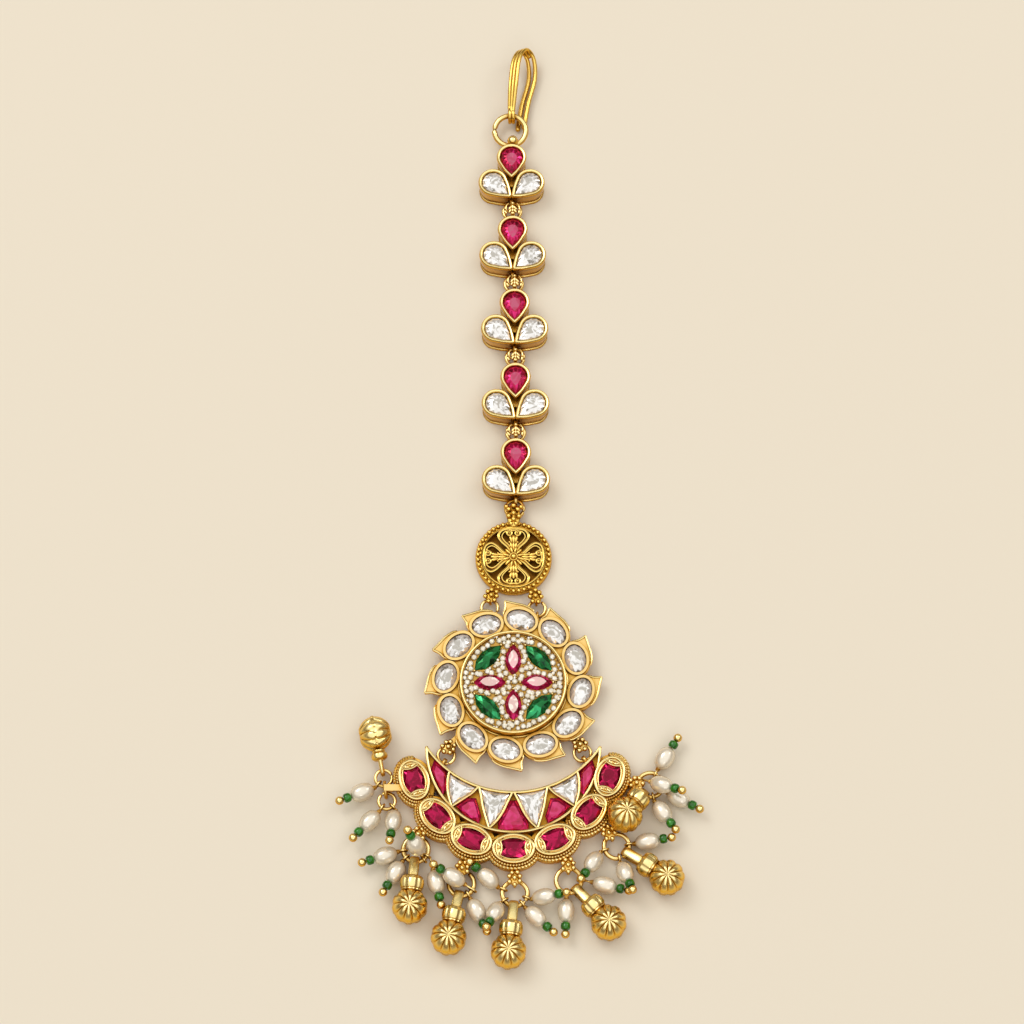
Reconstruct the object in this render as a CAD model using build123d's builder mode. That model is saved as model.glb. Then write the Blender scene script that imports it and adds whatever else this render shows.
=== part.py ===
from build123d import *
import os
from math import acos, atan2, cos, degrees, hypot, radians, sin

# A maang tikka lying face up: a hook and a chain of stone-set links, a
# filigree disc, a round medallion, a crescent, and bells and pearl drops.
# Millimetres. The origin is under the medallion's centre, on the surface
# that it lies on. +X is to the right, +Y towards the hook, +Z up.

# ---------------------------------------------------------------- sizes
CLEAR = 0.06            # between a stone and its cup, all round

# Hook: a doubled wire bent back on itself, on its ring
HOOK_WIRE = 0.47        # radius
HOOK_HALF_GAP = 0.54    # half the distance between the two wires
HOOK_ROUTE = [          # middle line from the eye, over the bend, to the tip
    (-0.3, 109.6, 3.4), (0.0, 113.6, 4.5), (0.6, 118.6, 4.9),
    (1.9, 121.0, 3.8), (3.2, 119.9, 2.2), (3.4, 116.4, 1.1), (2.2, 111.6, 0.9),
    (1.4, 106.6, 0.85),
]
HOOK_EYE = (-0.3, 108.45, 2.35)
HOOK_EYE_RADIUS, HOOK_EYE_WIRE, HOOK_KNOT = 1.2, 0.42, 0.95
HOOK_RING_CENTRE = (-0.55, 105.6)
HOOK_RING_RADIUS, HOOK_RING_WIRE = 2.85, 0.5
HOOK_RING_LOW, HOOK_RING_HIGH = 1.5, 2.35

# Chain: five links, each a ruby pear above a pair of crystal pears
LINK_X = [-0.3, -0.1, 0.25, 0.4, 0.45]
FIRST_LINK_Y, LINK_PITCH = 94.1, 14.3
CUP_HEIGHT, CUP_RIM, CUP_DEPTH = 4.2, 0.42, 1.0
CUP_FOOT_HEIGHT, CUP_FOOT_STEP = 0.5, 0.16
RUBY_PEAR = (2.55, 3.82)        # radius of the round end, reach of the point
RUBY_PEAR_Y = 5.17
CRYSTAL_PEAR = (2.6, 4.13)
CRYSTAL_PEAR_X, CRYSTAL_PEAR_Y, CRYSTAL_TURN = 3.32, 0.15, 49
LINK_WEB_RADIUS, LINK_WEB_Y, LINK_WEB_HEIGHT = 1.5, 1.3, 2.4
LINK_TOP_EYE_Y, LINK_LOW_EYE_Y = 8.2, -3.0
FIRST_TOP_EYE_Y = 8.6
LINK_EYE = (1.1, 0.3)           # ring radius and wire radius of an eyelet
LINK_LOW_EYE = (1.0, 0.3)
LINK_EYE_Z = 1.5
CHAIN_RING_WIRE = 0.32

# Filigree disc
DISC_X, DISC_Y = 0.05, 23.5
DISC_RADIUS, DISC_INNER, DISC_HEIGHT = 6.65, 5.4, 1.8
LACE_LOW, LACE_HIGH = 0.7, 1.5
LACE_OUTSIDE = [(0.4, 0.6), (1.4, 2.0), (2.95, 3.75), (2.15, 5.3), (0, 5.7)]
LACE_INSIDE = [(0.35, 1.7), (0.97, 2.4), (2.33, 3.8), (1.65, 4.9), (0, 5.2)]
LACE_STEM = (2.55, 3.9, 0.9)    # middle, length, width
LACE_SCROLLS, LACE_SCROLL = [(4.55, 0.62), (4.55, -0.62)], 0.7
LACE_TIE = (5.15, 1.1, 0.7)
LACE_HEART, LACE_CONE = 1.9, (1.6, 0.7, 0.5)
DISC_TOP_EYE_Y = 30.8
DISC_LOW_EYE = [(-3.95, 15.75), (4.0, 15.6)]
DISC_TAB_AT, DISC_TAB = 1.65, (2.2, 1.3)

# Medallion
MEDALLION_EYE = [(-4.2, 12.9), (4.15, 12.7), (-10.95, -10.75), (11.3, -10.3)]
SMALL_EYE, SMALL_EYE_Z = (0.72, 0.24), 1.05
SMALL_RING_WIRE = 0.3
PETALS, PETAL_RADIUS, FIRST_PETAL = 12, 11.6, 83.5
PETAL_STONE = (2.5, 1.8)        # half axes
PETAL_TILT, PETAL_BORDER, PETAL_RIM = 12, 0.75, 0.5
BACK_RADIUS = 10.2
PLATE_LOW, PLATE_HIGH, PLATE_RIM, PLATE_POCKET = 1.6, 2.6, 3.1, 2.2
DRUM_RADIUS, DRUM_RIM, DRUM_BED, DRUM_HIGH = 9.15, 0.5, 4.0, 4.5
MARQUISE_RUBY = (2.8, 1.35, 4.0)        # half length, half width, radius of place
MARQUISE_EMERALD = (3.2, 1.42, 6.15)
MARQUISE_POCKET = 3.6
MEDALLION_TAB_AT, MEDALLION_TAB = 1.7, (2.2, 1.2, 0.6)

# Crescent with seven oval bezels
HORN_CIRCLE_Y, HORN_CIRCLE = -11.25, 14.9
BITE_CIRCLE_Y, BITE_CIRCLE = -1.35, 17.5
CRESCENT_HEIGHT, CRESCENT_POCKET = 3.3, 2.3
CRESCENT_EYE = [(-11.85, -13.45), (12.2, -13.0)]
CRESCENT_RIM, DIVIDER = 0.42, 0.34      # widths of the raised rim and dividers
DIVIDERS = [            # left half, from the inner rim to the outer one and back
    [(-10.75, -15.35), (-11.1, -17.0), (-11.05, -19.2), (-10.42, -21.55)],
    [(-10.42, -21.55), (-8.1, -20.0), (-6.8, -19.1), (-5.8, -18.0)],
    [(-5.8, -18.0), (-5.45, -19.9), (-5.1, -21.9), (-4.12, -25.32)],
    [(-4.12, -25.32), (-2.85, -24.1), (-1.75, -22.5), (-1.0, -20.9), (-0.12, -19.05)],
]
KITE = [(-13.25, -13.7), (-11.4, -15.56), (-11.4, -18.5), (-11.96, -19.1), (-13.22, -16.84), (-13.72, -15.13)]
OUTER_CRYSTAL = [
    (-10.56, -16.05), (-8.6, -17.22), (-6.55, -18.3), (-6.97, -18.85), (-8.25, -19.75),
    (-10.15, -20.85), (-10.78, -19.2), (-10.82, -17.1),
]
SIDE_RUBY = [(-9.3, -21.5), (-7.68, -20.3), (-6.38, -20.3), (-5.6, -23.05), (-6.01, -24.15), (-8.12, -23.05)]
INNER_CRYSTAL = [
    (-5.34, -18.64), (-3.1, -19.16), (-0.8, -19.45), (-1.28, -20.8), (-2.02, -22.36),
    (-3.1, -23.88), (-3.95, -24.5), (-4.8, -21.85), (-5.14, -19.9),
]
MIDDLE_RUBY = [
    (-2.2, -25.42), (2.2, -25.42), (2.25, -24.3), (1.4, -22.56), (0.47, -20.8), (-0.47, -20.8),
    (-1.4, -22.56), (-2.25, -24.3),
]
CRESCENT_TAB_AT, CRESCENT_TAB = 1.15, (1.0, 1.0, 1.4)
OVAL_CUP = (3.6, 2.55)
OVAL_LEDGE, OVAL_LEDGE_HEIGHT, OVAL_HEIGHT, OVAL_POCKET = 0.7, 2.2, 3.7, 2.7
OVAL_STONE, OVAL_CUT, OVAL_BOW = (2.3, 1.62), 0.5, 0.12
OVALS = [               # centre x, centre y, turn of the long axis
    (-16.74, -16.98, 107.6), (-12.76, -23.29, 133.5), (-7.04, -27.29, 158.0),
    (0.05, -28.85, 0.0), (6.98, -27.29, 22.0), (12.71, -22.58, 47.0),
    (16.25, -16.39, 73.0),
]

# Drops: rings, bells and pearl pins
RING_Z = 1.3
DROP_RING, DROP_RING_WIRE = 2.12, 0.4
FIRST_RING, FIRST_RING_WIRE = 1.4, 0.3
DROP_EYE, DROP_TAB = (0.88, 0.27), (1.1, 1.5)
DROP_RINGS = [          # ring centre x, y of drops 2 to 7, bearing of its eyelet
    (-16.4, -28.52, 80), (-8.69, -34.36, 87), (0.26, -36.06, 91),
    (9.27, -33.84, 92), (17.37, -27.92, 123), (23.2, -17.3, 180),
]
PAIR_RINGS = [(-21.95, -16.2), (-21.35, -20.2)]   # the two rings of drop 1
PAIR_EYE = (-21.65, -18.25, 1.62)
PAIR_EYE_SIZE, PAIR_EYE_HEADING = (1.32, 0.3), 97
PAIR_TAB_AT, PAIR_TAB = (-20.195, -18.25, 2.94), (3.2, 1.1, 0.7)
BELL_RADIUS, BELL_LOBES, BELL_GROOVE = 3.05, 10, 0.88
BELL_COLLAR, BELL_COLLAR_HALF, BELL_COLLAR_BACK = 2.1, 1.25, 4.0
BELL_COLLAR_Z = 2.75
BELL_LATITUDES = (-78, -52, -26, 0, 26, 52, 78)
COLLAR_PROFILE, COLLAR_LOBES, COLLAR_GROOVE = [(-1.0, 0.72), (-0.45, 0.97), (0.35, 1.0), (1.0, 0.86)], 6, 0.9
SIDE_COLLAR, SIDE_COLLAR_BACK = 1.4, 3.7        # on the bell that lies on its side
BELL_KNOB = 0.42
STRAP_OUT, STRAP_IN = 1.0, 0.62
BELLS = [               # ring number, bearing on the ring, reach, strap width, roll, rise
    (0, 101.5, 6.1, 0.7, 90, 0), (1, 265.2, 8.0, 1.6, 0, 0), (2, 257.8, 7.6, 1.6, 0, 0),
    (3, 264.0, 8.1, 1.6, 0, 0), (4, 311.0, 7.9, 1.6, 0, 0), (5, 325.0, 8.0, 1.6, 0, 0),
    (6, 233.0, 5.8, 1.6, 0, 12),
]
PIN_WIRE, PIN_EYE, PIN_BALL, PIN_KNOT = 0.18, 0.68, 0.68, 0.234
PEARL_AT, PEARL_HALF, PEARL_RADIUS = 2.45, 2.05, 1.5
GREEN_AT, GREEN_HALF, GREEN_RADIUS = 5.2, 0.6, 0.82
BALL_AT = 6.6
BORE = 0.28
PINS = [                # drop, ring, bearing on the ring, heading, rise, exit, bare wire
    (1, 0, 230, 203, 8, 0, 0), (1, 7, 235, 228, 8, 0, 0), (1, 7, 315, 262, 24, 0, 0),
    (2, 1, 186, 199, 8, 0, 0), (2, 1, 221, 240, 8, 0, 0), (2, 1, 309, 128, 58, 90, 1.1),
    (2, 1, 330, 283, 8, 0, 2.0),
    (3, 2, 330, 151, 21, 125, 0.9), (3, 2, 301, 296, 8, 0, 0),
    (4, 3, 214, 244, 34, 0, 0), (4, 3, 306, 317, 8, 0, 0), (4, 3, 340, 5, 25, 0, 0),
    (4, 3, 160, 140, 14, 0, 0),
    (5, 4, 262, 268, 8, 0, 0), (5, 4, 0, 345, 8, 0, 0.9),
    (6, 5, 200, 236, 20, 0, 0), (6, 5, 282, 289, 29, 0, 0), (6, 5, 8, 8, 8, 0, 0),
    (7, 6, 65, 57, 8, 0, 0), (7, 6, 150, 336, 28, 125, 1.6), (7, 6, 282, 303, 14, 0, 0),
    (7, 6, 336, 330, 8, 0, 0),
]

os.makedirs("parts", exist_ok=True)
written = []


def write(part, name):
    """Label a finished piece and write its STEP file."""
    part.label = name
    export_step(part, f"parts/{name}.step")
    written.append(name)


# ---------------------------------------------------------------- helpers
def upright(x, y, z, heading):
    """A plane on edge, holding the heading and +Z."""
    a = radians(heading)
    return Plane(origin=(x, y, z), x_dir=(cos(a), sin(a), 0), z_dir=(sin(a), -cos(a), 0))


def along(point, heading, rise=0.0):
    """A plane whose X runs along a heading that climbs, and whose Y stays level."""
    a, b = radians(heading), radians(rise)
    run = (cos(b) * cos(a), cos(b) * sin(a), sin(b))
    up = (-sin(b) * cos(a), -sin(b) * sin(a), cos(b))
    return Plane(origin=point, x_dir=run, z_dir=up)


def step_from(point, bearing, distance):
    """The point at a distance from another, in plan."""
    a = radians(bearing)
    return point[0] + distance * cos(a), point[1] + distance * sin(a)


def bearing_to(start, end):
    """Bearing in plan from one point to another, in degrees."""
    return degrees(atan2(end[1] - start[1], end[0] - start[0]))


def pear(radius, reach, less=0.0):
    """A circle drawn out to a point towards -Y, made smaller all round."""
    reach = reach * (radius - less) / radius
    radius = radius - less
    lean = acos(radius / reach)
    side_x, side_y = radius * sin(lean), -radius * cos(lean)
    with BuildSketch() as outline:
        with BuildLine():
            ThreePointArc((side_x, side_y), (0, radius), (-side_x, side_y))
            Polyline((-side_x, side_y), (0, -reach), (side_x, side_y))
        make_face()
    return outline.sketch


def pear_points(radius, reach, less, count=10):
    """Corners round a pear: a point and an arc of even steps."""
    reach = reach * (radius - less) / radius
    radius = radius - less
    lean = 90 - degrees(acos(radius / reach))
    arc = [-lean + (180 + 2 * lean) * i / (count - 2) for i in range(count - 1)]
    return [(radius * cos(radians(a)), radius * sin(radians(a))) for a in arc] + [(0, -reach)]


def oval_points(half_x, half_y, count=12):
    """Corners of an ellipse, with a flat at each side."""
    turns = [radians(360 * (i + 0.5) / count) for i in range(count)]
    return [(half_x * cos(t), half_y * sin(t)) for t in turns]


def marquise(half_length, half_width, grow=0.0):
    """A pointed oval of two arcs, its points along X."""
    length, width = half_length + 1.8 * grow, half_width + grow
    with BuildSketch() as outline:
        with BuildLine():
            ThreePointArc((-length, 0), (0, width), (length, 0))
            ThreePointArc((length, 0), (0, -width), (-length, 0))
        make_face()
    return outline.sketch


def marquise_points(half_length, half_width, count=5):
    """Corners of a marquise: both points and even steps along each arc."""
    bow = (half_length**2 - half_width**2) / (2 * half_width)
    radius = bow + half_width
    span = degrees(atan2(half_length, bow))
    sides = [radians(-span + 2 * span * i / count) for i in range(count)]
    upper = [(radius * sin(a), radius * cos(a) - bow) for a in sides]
    return upper + [(-x, -y) for x, y in upper]


def cut_stone(points, low, girdle, table, share=0.58):
    """A faceted stone: a corner polygon that narrows to a flat table."""
    cx = sum(x for x, y in points) / len(points)
    cy = sum(y for x, y in points) / len(points)
    with BuildPart() as stone:
        for height, scale in ((low, 0.94), (girdle, 1.0), (table, share)):
            ring = [(cx + (x - cx) * scale, cy + (y - cy) * scale) for x, y in points]
            with BuildSketch(Plane.XY.offset(height)):
                Polygon(*ring, align=None)
        loft(ruled=True)
    return stone.part


def trim_corners(points, share=0.16):
    """Cut each corner of a polygon, so that it has twice as many sides."""
    cut = []
    for i, (x, y) in enumerate(points):
        for nx, ny in (points[i - 1], points[(i + 1) % len(points)]):
            cut.append((x + (nx - x) * share, y + (ny - y) * share))
    return cut


def mirror_x(points):
    """The same corners on the other side of the middle line."""
    return [(-x, y) for x, y in reversed(points)]


def wire_ring(centre, radius, wire, z=RING_Z):
    """A jump ring lying flat."""
    with BuildPart() as ring:
        with Locations((centre[0], centre[1], z)):
            Torus(radius, wire)
    return ring.part


def turned(profile, sides):
    """A faceted turned solid along X, from (place, radius) steps."""
    with BuildPart() as solid:
        for x, radius in profile:
            with BuildSketch(Plane.YZ.offset(x)):
                RegularPolygon(radius, sides)
        loft(ruled=True)
    return solid.part


def at(plane, part):
    """A copy of a part moved from the world's axes to a plane."""
    return plane.location * part


def gather(parts):
    """Loose solids kept together in one node."""
    return Compound(children=list(parts))


# ---------------------------------------------------------------- hook
def hook_line(shift):
    """The route of one of the hook's two wires."""
    return [(x + shift * 0.85, y, z + shift * 0.53) for x, y, z in HOOK_ROUTE]


left_wire = hook_line(-HOOK_HALF_GAP)
right_wire = hook_line(HOOK_HALF_GAP)
with BuildPart() as hook:
    with BuildLine():
        FilletPolyline(*left_wire, *reversed(right_wire),
                       radius=[6, 5, 1.2, 1.1, 3, 8, 0.5, 0.5, 8, 3, 1.1, 1.2, 5, 6])
    with BuildSketch(Plane(origin=left_wire[0], z_dir=Vector(*left_wire[1]) - Vector(*left_wire[0]))):
        Circle(HOOK_WIRE)
    sweep()
    with Locations(upright(*HOOK_EYE, 90)):
        Torus(HOOK_EYE_RADIUS, HOOK_EYE_WIRE)
    with Locations(HOOK_ROUTE[0]):
        Sphere(HOOK_KNOT)
write(hook.part, "hook")

ring_rise = degrees(atan2(HOOK_RING_HIGH - HOOK_RING_LOW, 2 * HOOK_RING_RADIUS))
ring_mid = (HOOK_RING_LOW + HOOK_RING_HIGH) / 2
with BuildPart() as hook_ring:
    with Locations(along((*HOOK_RING_CENTRE, ring_mid), 90, ring_rise)):
        Torus(HOOK_RING_RADIUS, HOOK_RING_WIRE)
write(hook_ring.part, "hook_ring")


# ---------------------------------------------------------------- chain
LINK_CUPS = [           # pear, x, y, turn of the point from -Y
    (RUBY_PEAR, 0.0, RUBY_PEAR_Y, 0),
    (CRYSTAL_PEAR, -CRYSTAL_PEAR_X, CRYSTAL_PEAR_Y, CRYSTAL_TURN),
    (CRYSTAL_PEAR, CRYSTAL_PEAR_X, CRYSTAL_PEAR_Y, -CRYSTAL_TURN),
]


def chain_link(top_eye_y):
    """One link: three cups soldered to a web, with an eyelet at each end."""
    with BuildPart() as link:
        for layer, grow in ((CUP_HEIGHT, 0.0), (CUP_FOOT_HEIGHT, -CUP_FOOT_STEP)):
            for shape, x, y, turn in LINK_CUPS:
                with BuildSketch(Plane.XY):
                    with Locations(Location((x, y, 0), (0, 0, turn))):
                        add(pear(*shape, grow))
                extrude(amount=layer)
        with Locations((0, LINK_WEB_Y, LINK_WEB_HEIGHT / 2)):
            Cylinder(LINK_WEB_RADIUS, LINK_WEB_HEIGHT)
        for shape, x, y, turn in LINK_CUPS:
            with BuildSketch(Plane.XY.offset(CUP_HEIGHT)):
                with Locations(Location((x, y, 0), (0, 0, turn))):
                    add(pear(*shape, CUP_RIM))
            extrude(amount=-CUP_DEPTH, mode=Mode.SUBTRACT)
        with Locations(upright(0, top_eye_y, LINK_EYE_Z, 90)):
            Torus(*LINK_EYE)
        with Locations(upright(0, LINK_LOW_EYE_Y, LINK_EYE_Z, 90)):
            Torus(*LINK_LOW_EYE)
    return link.part


def link_stones(cups):
    """The pear stones that sit in some of a link's cups."""
    seat = CUP_HEIGHT - CUP_DEPTH + CLEAR
    stones = []
    for shape, x, y, turn in cups:
        stone = cut_stone(pear_points(*shape, CUP_RIM + CLEAR), seat, seat + 0.6, CUP_HEIGHT + 0.15)
        stones.append(Location((x, y, 0), (0, 0, turn)) * stone)
    return stones


first_link, next_link = chain_link(FIRST_TOP_EYE_Y), chain_link(LINK_TOP_EYE_Y)
link_spots = [(x, FIRST_LINK_Y - i * LINK_PITCH) for i, x in enumerate(LINK_X)]
chain_rubies, chain_crystals = [], []
for number, (x, y) in enumerate(link_spots, 1):
    body = first_link if number == 1 else next_link
    write(Location((x, y, 0)) * body, f"chain_link_{number}")
    chain_rubies += [Location((x, y, 0)) * s for s in link_stones(LINK_CUPS[:1])]
    chain_crystals += [Location((x, y, 0)) * s for s in link_stones(LINK_CUPS[1:])]
write(gather(chain_rubies), "chain_rubies")
write(gather(chain_crystals), "chain_crystals")

link_tops = [(x, y + LINK_TOP_EYE_Y) for x, y in link_spots[1:]] + [(DISC_X, DISC_TOP_EYE_Y)]
for number, ((x, y), (next_x, next_y)) in enumerate(zip(link_spots, link_tops), 1):
    low_y = y + LINK_LOW_EYE_Y
    centre = ((x + next_x) / 2, (low_y + next_y) / 2)
    ring = wire_ring(centre, (low_y - next_y) / 2, CHAIN_RING_WIRE, LINK_EYE_Z)
    write(ring, f"chain_ring_{number}")


# ---------------------------------------------------------------- filigree disc
def lace_petal(half):
    """The outline of one open petal along +Y, from the corners of its right half."""
    left = [(-x, y) for x, y in half]
    with BuildSketch() as outline:
        with BuildLine():
            Spline(*half, *reversed(left[:-1]))
            Line(left[0], half[0])
        make_face()
    return outline.sketch


with BuildPart() as filigree_disc:
    with BuildSketch(Plane.XY):
        with Locations((DISC_X, DISC_Y)):
            Circle(DISC_RADIUS)
            Circle(DISC_INNER, mode=Mode.SUBTRACT)
    extrude(amount=DISC_HEIGHT)
    with BuildSketch(Plane.XY.offset(LACE_LOW)):
        with Locations((DISC_X, DISC_Y)):
            with PolarLocations(0, 4):
                add(lace_petal(LACE_OUTSIDE))
    extrude(amount=LACE_HIGH - LACE_LOW)
    with BuildSketch(Plane.XY.offset(LACE_LOW)):
        with Locations((DISC_X, DISC_Y)):
            with PolarLocations(0, 4):
                add(lace_petal(LACE_INSIDE))
    extrude(amount=LACE_HIGH - LACE_LOW, mode=Mode.SUBTRACT)
    with BuildSketch(Plane.XY.offset(LACE_LOW)):
        with Locations((DISC_X, DISC_Y)):
            with PolarLocations(0, 4):
                for middle, length, width in (LACE_STEM, LACE_TIE):
                    with Locations((middle, 0)):
                        Rectangle(length, width)
                with Locations(*LACE_SCROLLS):
                    Circle(LACE_SCROLL)
            Circle(LACE_HEART)
    extrude(amount=LACE_HIGH - LACE_LOW)
    with Locations((DISC_X, DISC_Y, LACE_HIGH)):
        Cone(*LACE_CONE, align=(Align.CENTER, Align.CENTER, Align.MIN))
    with Locations(upright(DISC_X, DISC_TOP_EYE_Y, LINK_EYE_Z, 90)):
        Torus(*LINK_EYE)
    for x, y in DISC_LOW_EYE:
        heading = bearing_to((x, y), (DISC_X, DISC_Y))
        with Locations(upright(x, y, SMALL_EYE_Z, 90)):
            Torus(*SMALL_EYE)
        with Locations(along((*step_from((x, y), heading, DISC_TAB_AT), DISC_HEIGHT / 2), heading)):
            Box(*DISC_TAB, DISC_HEIGHT)
write(filigree_disc.part, "filigree_disc")

for name, (x, y), (low_x, low_y) in zip(("left", "right"), DISC_LOW_EYE, MEDALLION_EYE):
    ring = wire_ring(((x + low_x) / 2, (y + low_y) / 2), (y - low_y) / 2, SMALL_RING_WIRE, SMALL_EYE_Z)
    write(ring, f"disc_ring_{name}")


# ---------------------------------------------------------------- medallion
def petal_spots():
    """Where the twelve petal stones sit, each turned a little outwards."""
    spots = []
    for i in range(PETALS):
        bearing = FIRST_PETAL + 360 / PETALS * i
        x, y = step_from((0, 0), bearing, PETAL_RADIUS)
        spots.append(Location((x, y, 0), (0, 0, bearing - 90)))
    return spots


def petal_leaf():
    """The pointed tip of a petal: two arcs that meet at the point."""
    with BuildSketch() as leaf:
        with BuildLine():
            ThreePointArc((0.9, 2.5), (-1.3, 3.0), (-3.15, 3.25))
            ThreePointArc((-3.15, 3.25), (-2.95, 1.9), (-3.1, 0.6))
            Line((-3.1, 0.6), (0.9, 2.5))
        make_face()
    return leaf.sketch


def petal_ellipse(grow):
    """A petal stone's ellipse with a border of the given width."""
    with BuildSketch() as outline:
        Ellipse(PETAL_STONE[0] + grow, PETAL_STONE[1] + grow, rotation=-PETAL_TILT)
    return outline.sketch


with BuildPart() as medallion:
    with BuildSketch(Plane.XY):
        Circle(BACK_RADIUS)
    extrude(amount=PLATE_LOW)
    with BuildSketch(Plane.XY.offset(PLATE_LOW)):
        Circle(PETAL_RADIUS)
        with Locations(*petal_spots()):
            add(petal_ellipse(PETAL_BORDER))
            add(petal_leaf())
    extrude(amount=PLATE_HIGH - PLATE_LOW)
    with BuildSketch(Plane.XY.offset(PLATE_HIGH)):
        with Locations(*petal_spots()):
            add(petal_ellipse(PETAL_RIM))
    extrude(amount=PLATE_RIM - PLATE_HIGH)
    with BuildSketch(Plane.XY.offset(PLATE_HIGH)):
        Circle(DRUM_RADIUS)
    extrude(amount=DRUM_HIGH - PLATE_HIGH)
    with BuildSketch(Plane.XY.offset(DRUM_HIGH)):
        Circle(DRUM_RADIUS - DRUM_RIM)
    extrude(amount=DRUM_BED - DRUM_HIGH, mode=Mode.SUBTRACT)
    with BuildSketch(Plane.XY.offset(DRUM_BED)):
        with PolarLocations(MARQUISE_RUBY[2], 4):
            add(marquise(*MARQUISE_RUBY[:2], CLEAR))
        with PolarLocations(MARQUISE_EMERALD[2], 4, start_angle=45):
            with Locations(Location((0, 0, 0), (0, 0, 90))):
                add(marquise(*MARQUISE_EMERALD[:2], CLEAR))
    extrude(amount=MARQUISE_POCKET - DRUM_BED, mode=Mode.SUBTRACT)
    with BuildSketch(Plane.XY.offset(PLATE_RIM)):
        with Locations(*petal_spots()):
            add(petal_ellipse(CLEAR))
    extrude(amount=PLATE_POCKET - PLATE_RIM, mode=Mode.SUBTRACT)
    for x, y in MEDALLION_EYE:
        heading = 90 if y > 0 else bearing_to((x, y), (0, 0))
        inward = bearing_to((x, y), (0, 0))
        with Locations(upright(x, y, SMALL_EYE_Z, heading)):
            Torus(*SMALL_EYE)
        with Locations(along((*step_from((x, y), inward, MEDALLION_TAB_AT), PLATE_LOW + 0.2), inward)):
            Box(*MEDALLION_TAB)
write(medallion.part, "medallion")

for name, (x, y), (low_x, low_y) in zip(("left", "right"), MEDALLION_EYE[2:], CRESCENT_EYE):
    reach = hypot(x - low_x, y - low_y)
    ring = wire_ring(((x + low_x) / 2, (y + low_y) / 2), reach / 2, SMALL_RING_WIRE, SMALL_EYE_Z)
    write(ring, f"crescent_ring_{name}")

petal_stone = cut_stone(oval_points(*PETAL_STONE), PLATE_POCKET + CLEAR, PLATE_HIGH, PLATE_RIM + 0.2)
tilted = Location((0, 0, 0), (0, 0, -PETAL_TILT)) * petal_stone
write(gather([spot * tilted for spot in petal_spots()]), "medallion_crystals")

for name, shape, start in (("rubies", MARQUISE_RUBY, 0), ("emeralds", MARQUISE_EMERALD, 45)):
    half_length, half_width, radius = shape
    points = marquise_points(half_length, half_width)
    stone = cut_stone(points, MARQUISE_POCKET + CLEAR, DRUM_BED, DRUM_HIGH + 0.3)
    spin = 0 if name == "rubies" else 90
    stones = []
    for i in range(4):
        x, y = step_from((0, 0), start + 90 * i, radius)
        stones.append(Location((x, y, 0), (0, 0, start + 90 * i + spin)) * stone)
    write(gather(stones), f"medallion_{name}")


# ---------------------------------------------------------------- crescent
CRESCENT_CRYSTALS = [OUTER_CRYSTAL, INNER_CRYSTAL]
CRESCENT_CRYSTALS += [mirror_x(p) for p in CRESCENT_CRYSTALS]
CRESCENT_RUBIES = [KITE, SIDE_RUBY]
CRESCENT_RUBIES += [mirror_x(p) for p in CRESCENT_RUBIES] + [MIDDLE_RUBY]


def cushion(half_x, half_y, grow=0.0):
    """A rectangle with cut corners and slightly bowed sides."""
    x, y, cut = half_x + grow, half_y + grow, OVAL_CUT
    with BuildSketch() as outline:
        with BuildLine():
            Polyline((x - cut, y), (x, y - cut), (x, cut - y), (x - cut, -y))
            ThreePointArc((x - cut, -y), (0, -y - OVAL_BOW), (cut - x, -y))
            Polyline((cut - x, -y), (-x, cut - y), (-x, y - cut), (cut - x, y))
            ThreePointArc((cut - x, y), (0, y + OVAL_BOW), (x - cut, y))
        make_face()
    return outline.sketch


def eyelet_root(ring, bearing):
    """Where a drop's eyelet stands: on its ring, on the crescent's side."""
    return step_from(ring, bearing, DROP_RING)


def band(points, width):
    """Corners of a strip of even width along a line of points."""
    sides = []
    for i, (x, y) in enumerate(points):
        before, after = points[max(i - 1, 0)], points[min(i + 1, len(points) - 1)]
        turn = radians(bearing_to(before, after))
        sides.append((x, y, -sin(turn) * width / 2, cos(turn) * width / 2))
    left = [(x + dx, y + dy) for x, y, dx, dy in sides]
    return left + [(x - dx, y - dy) for x, y, dx, dy in reversed(sides)]


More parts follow.
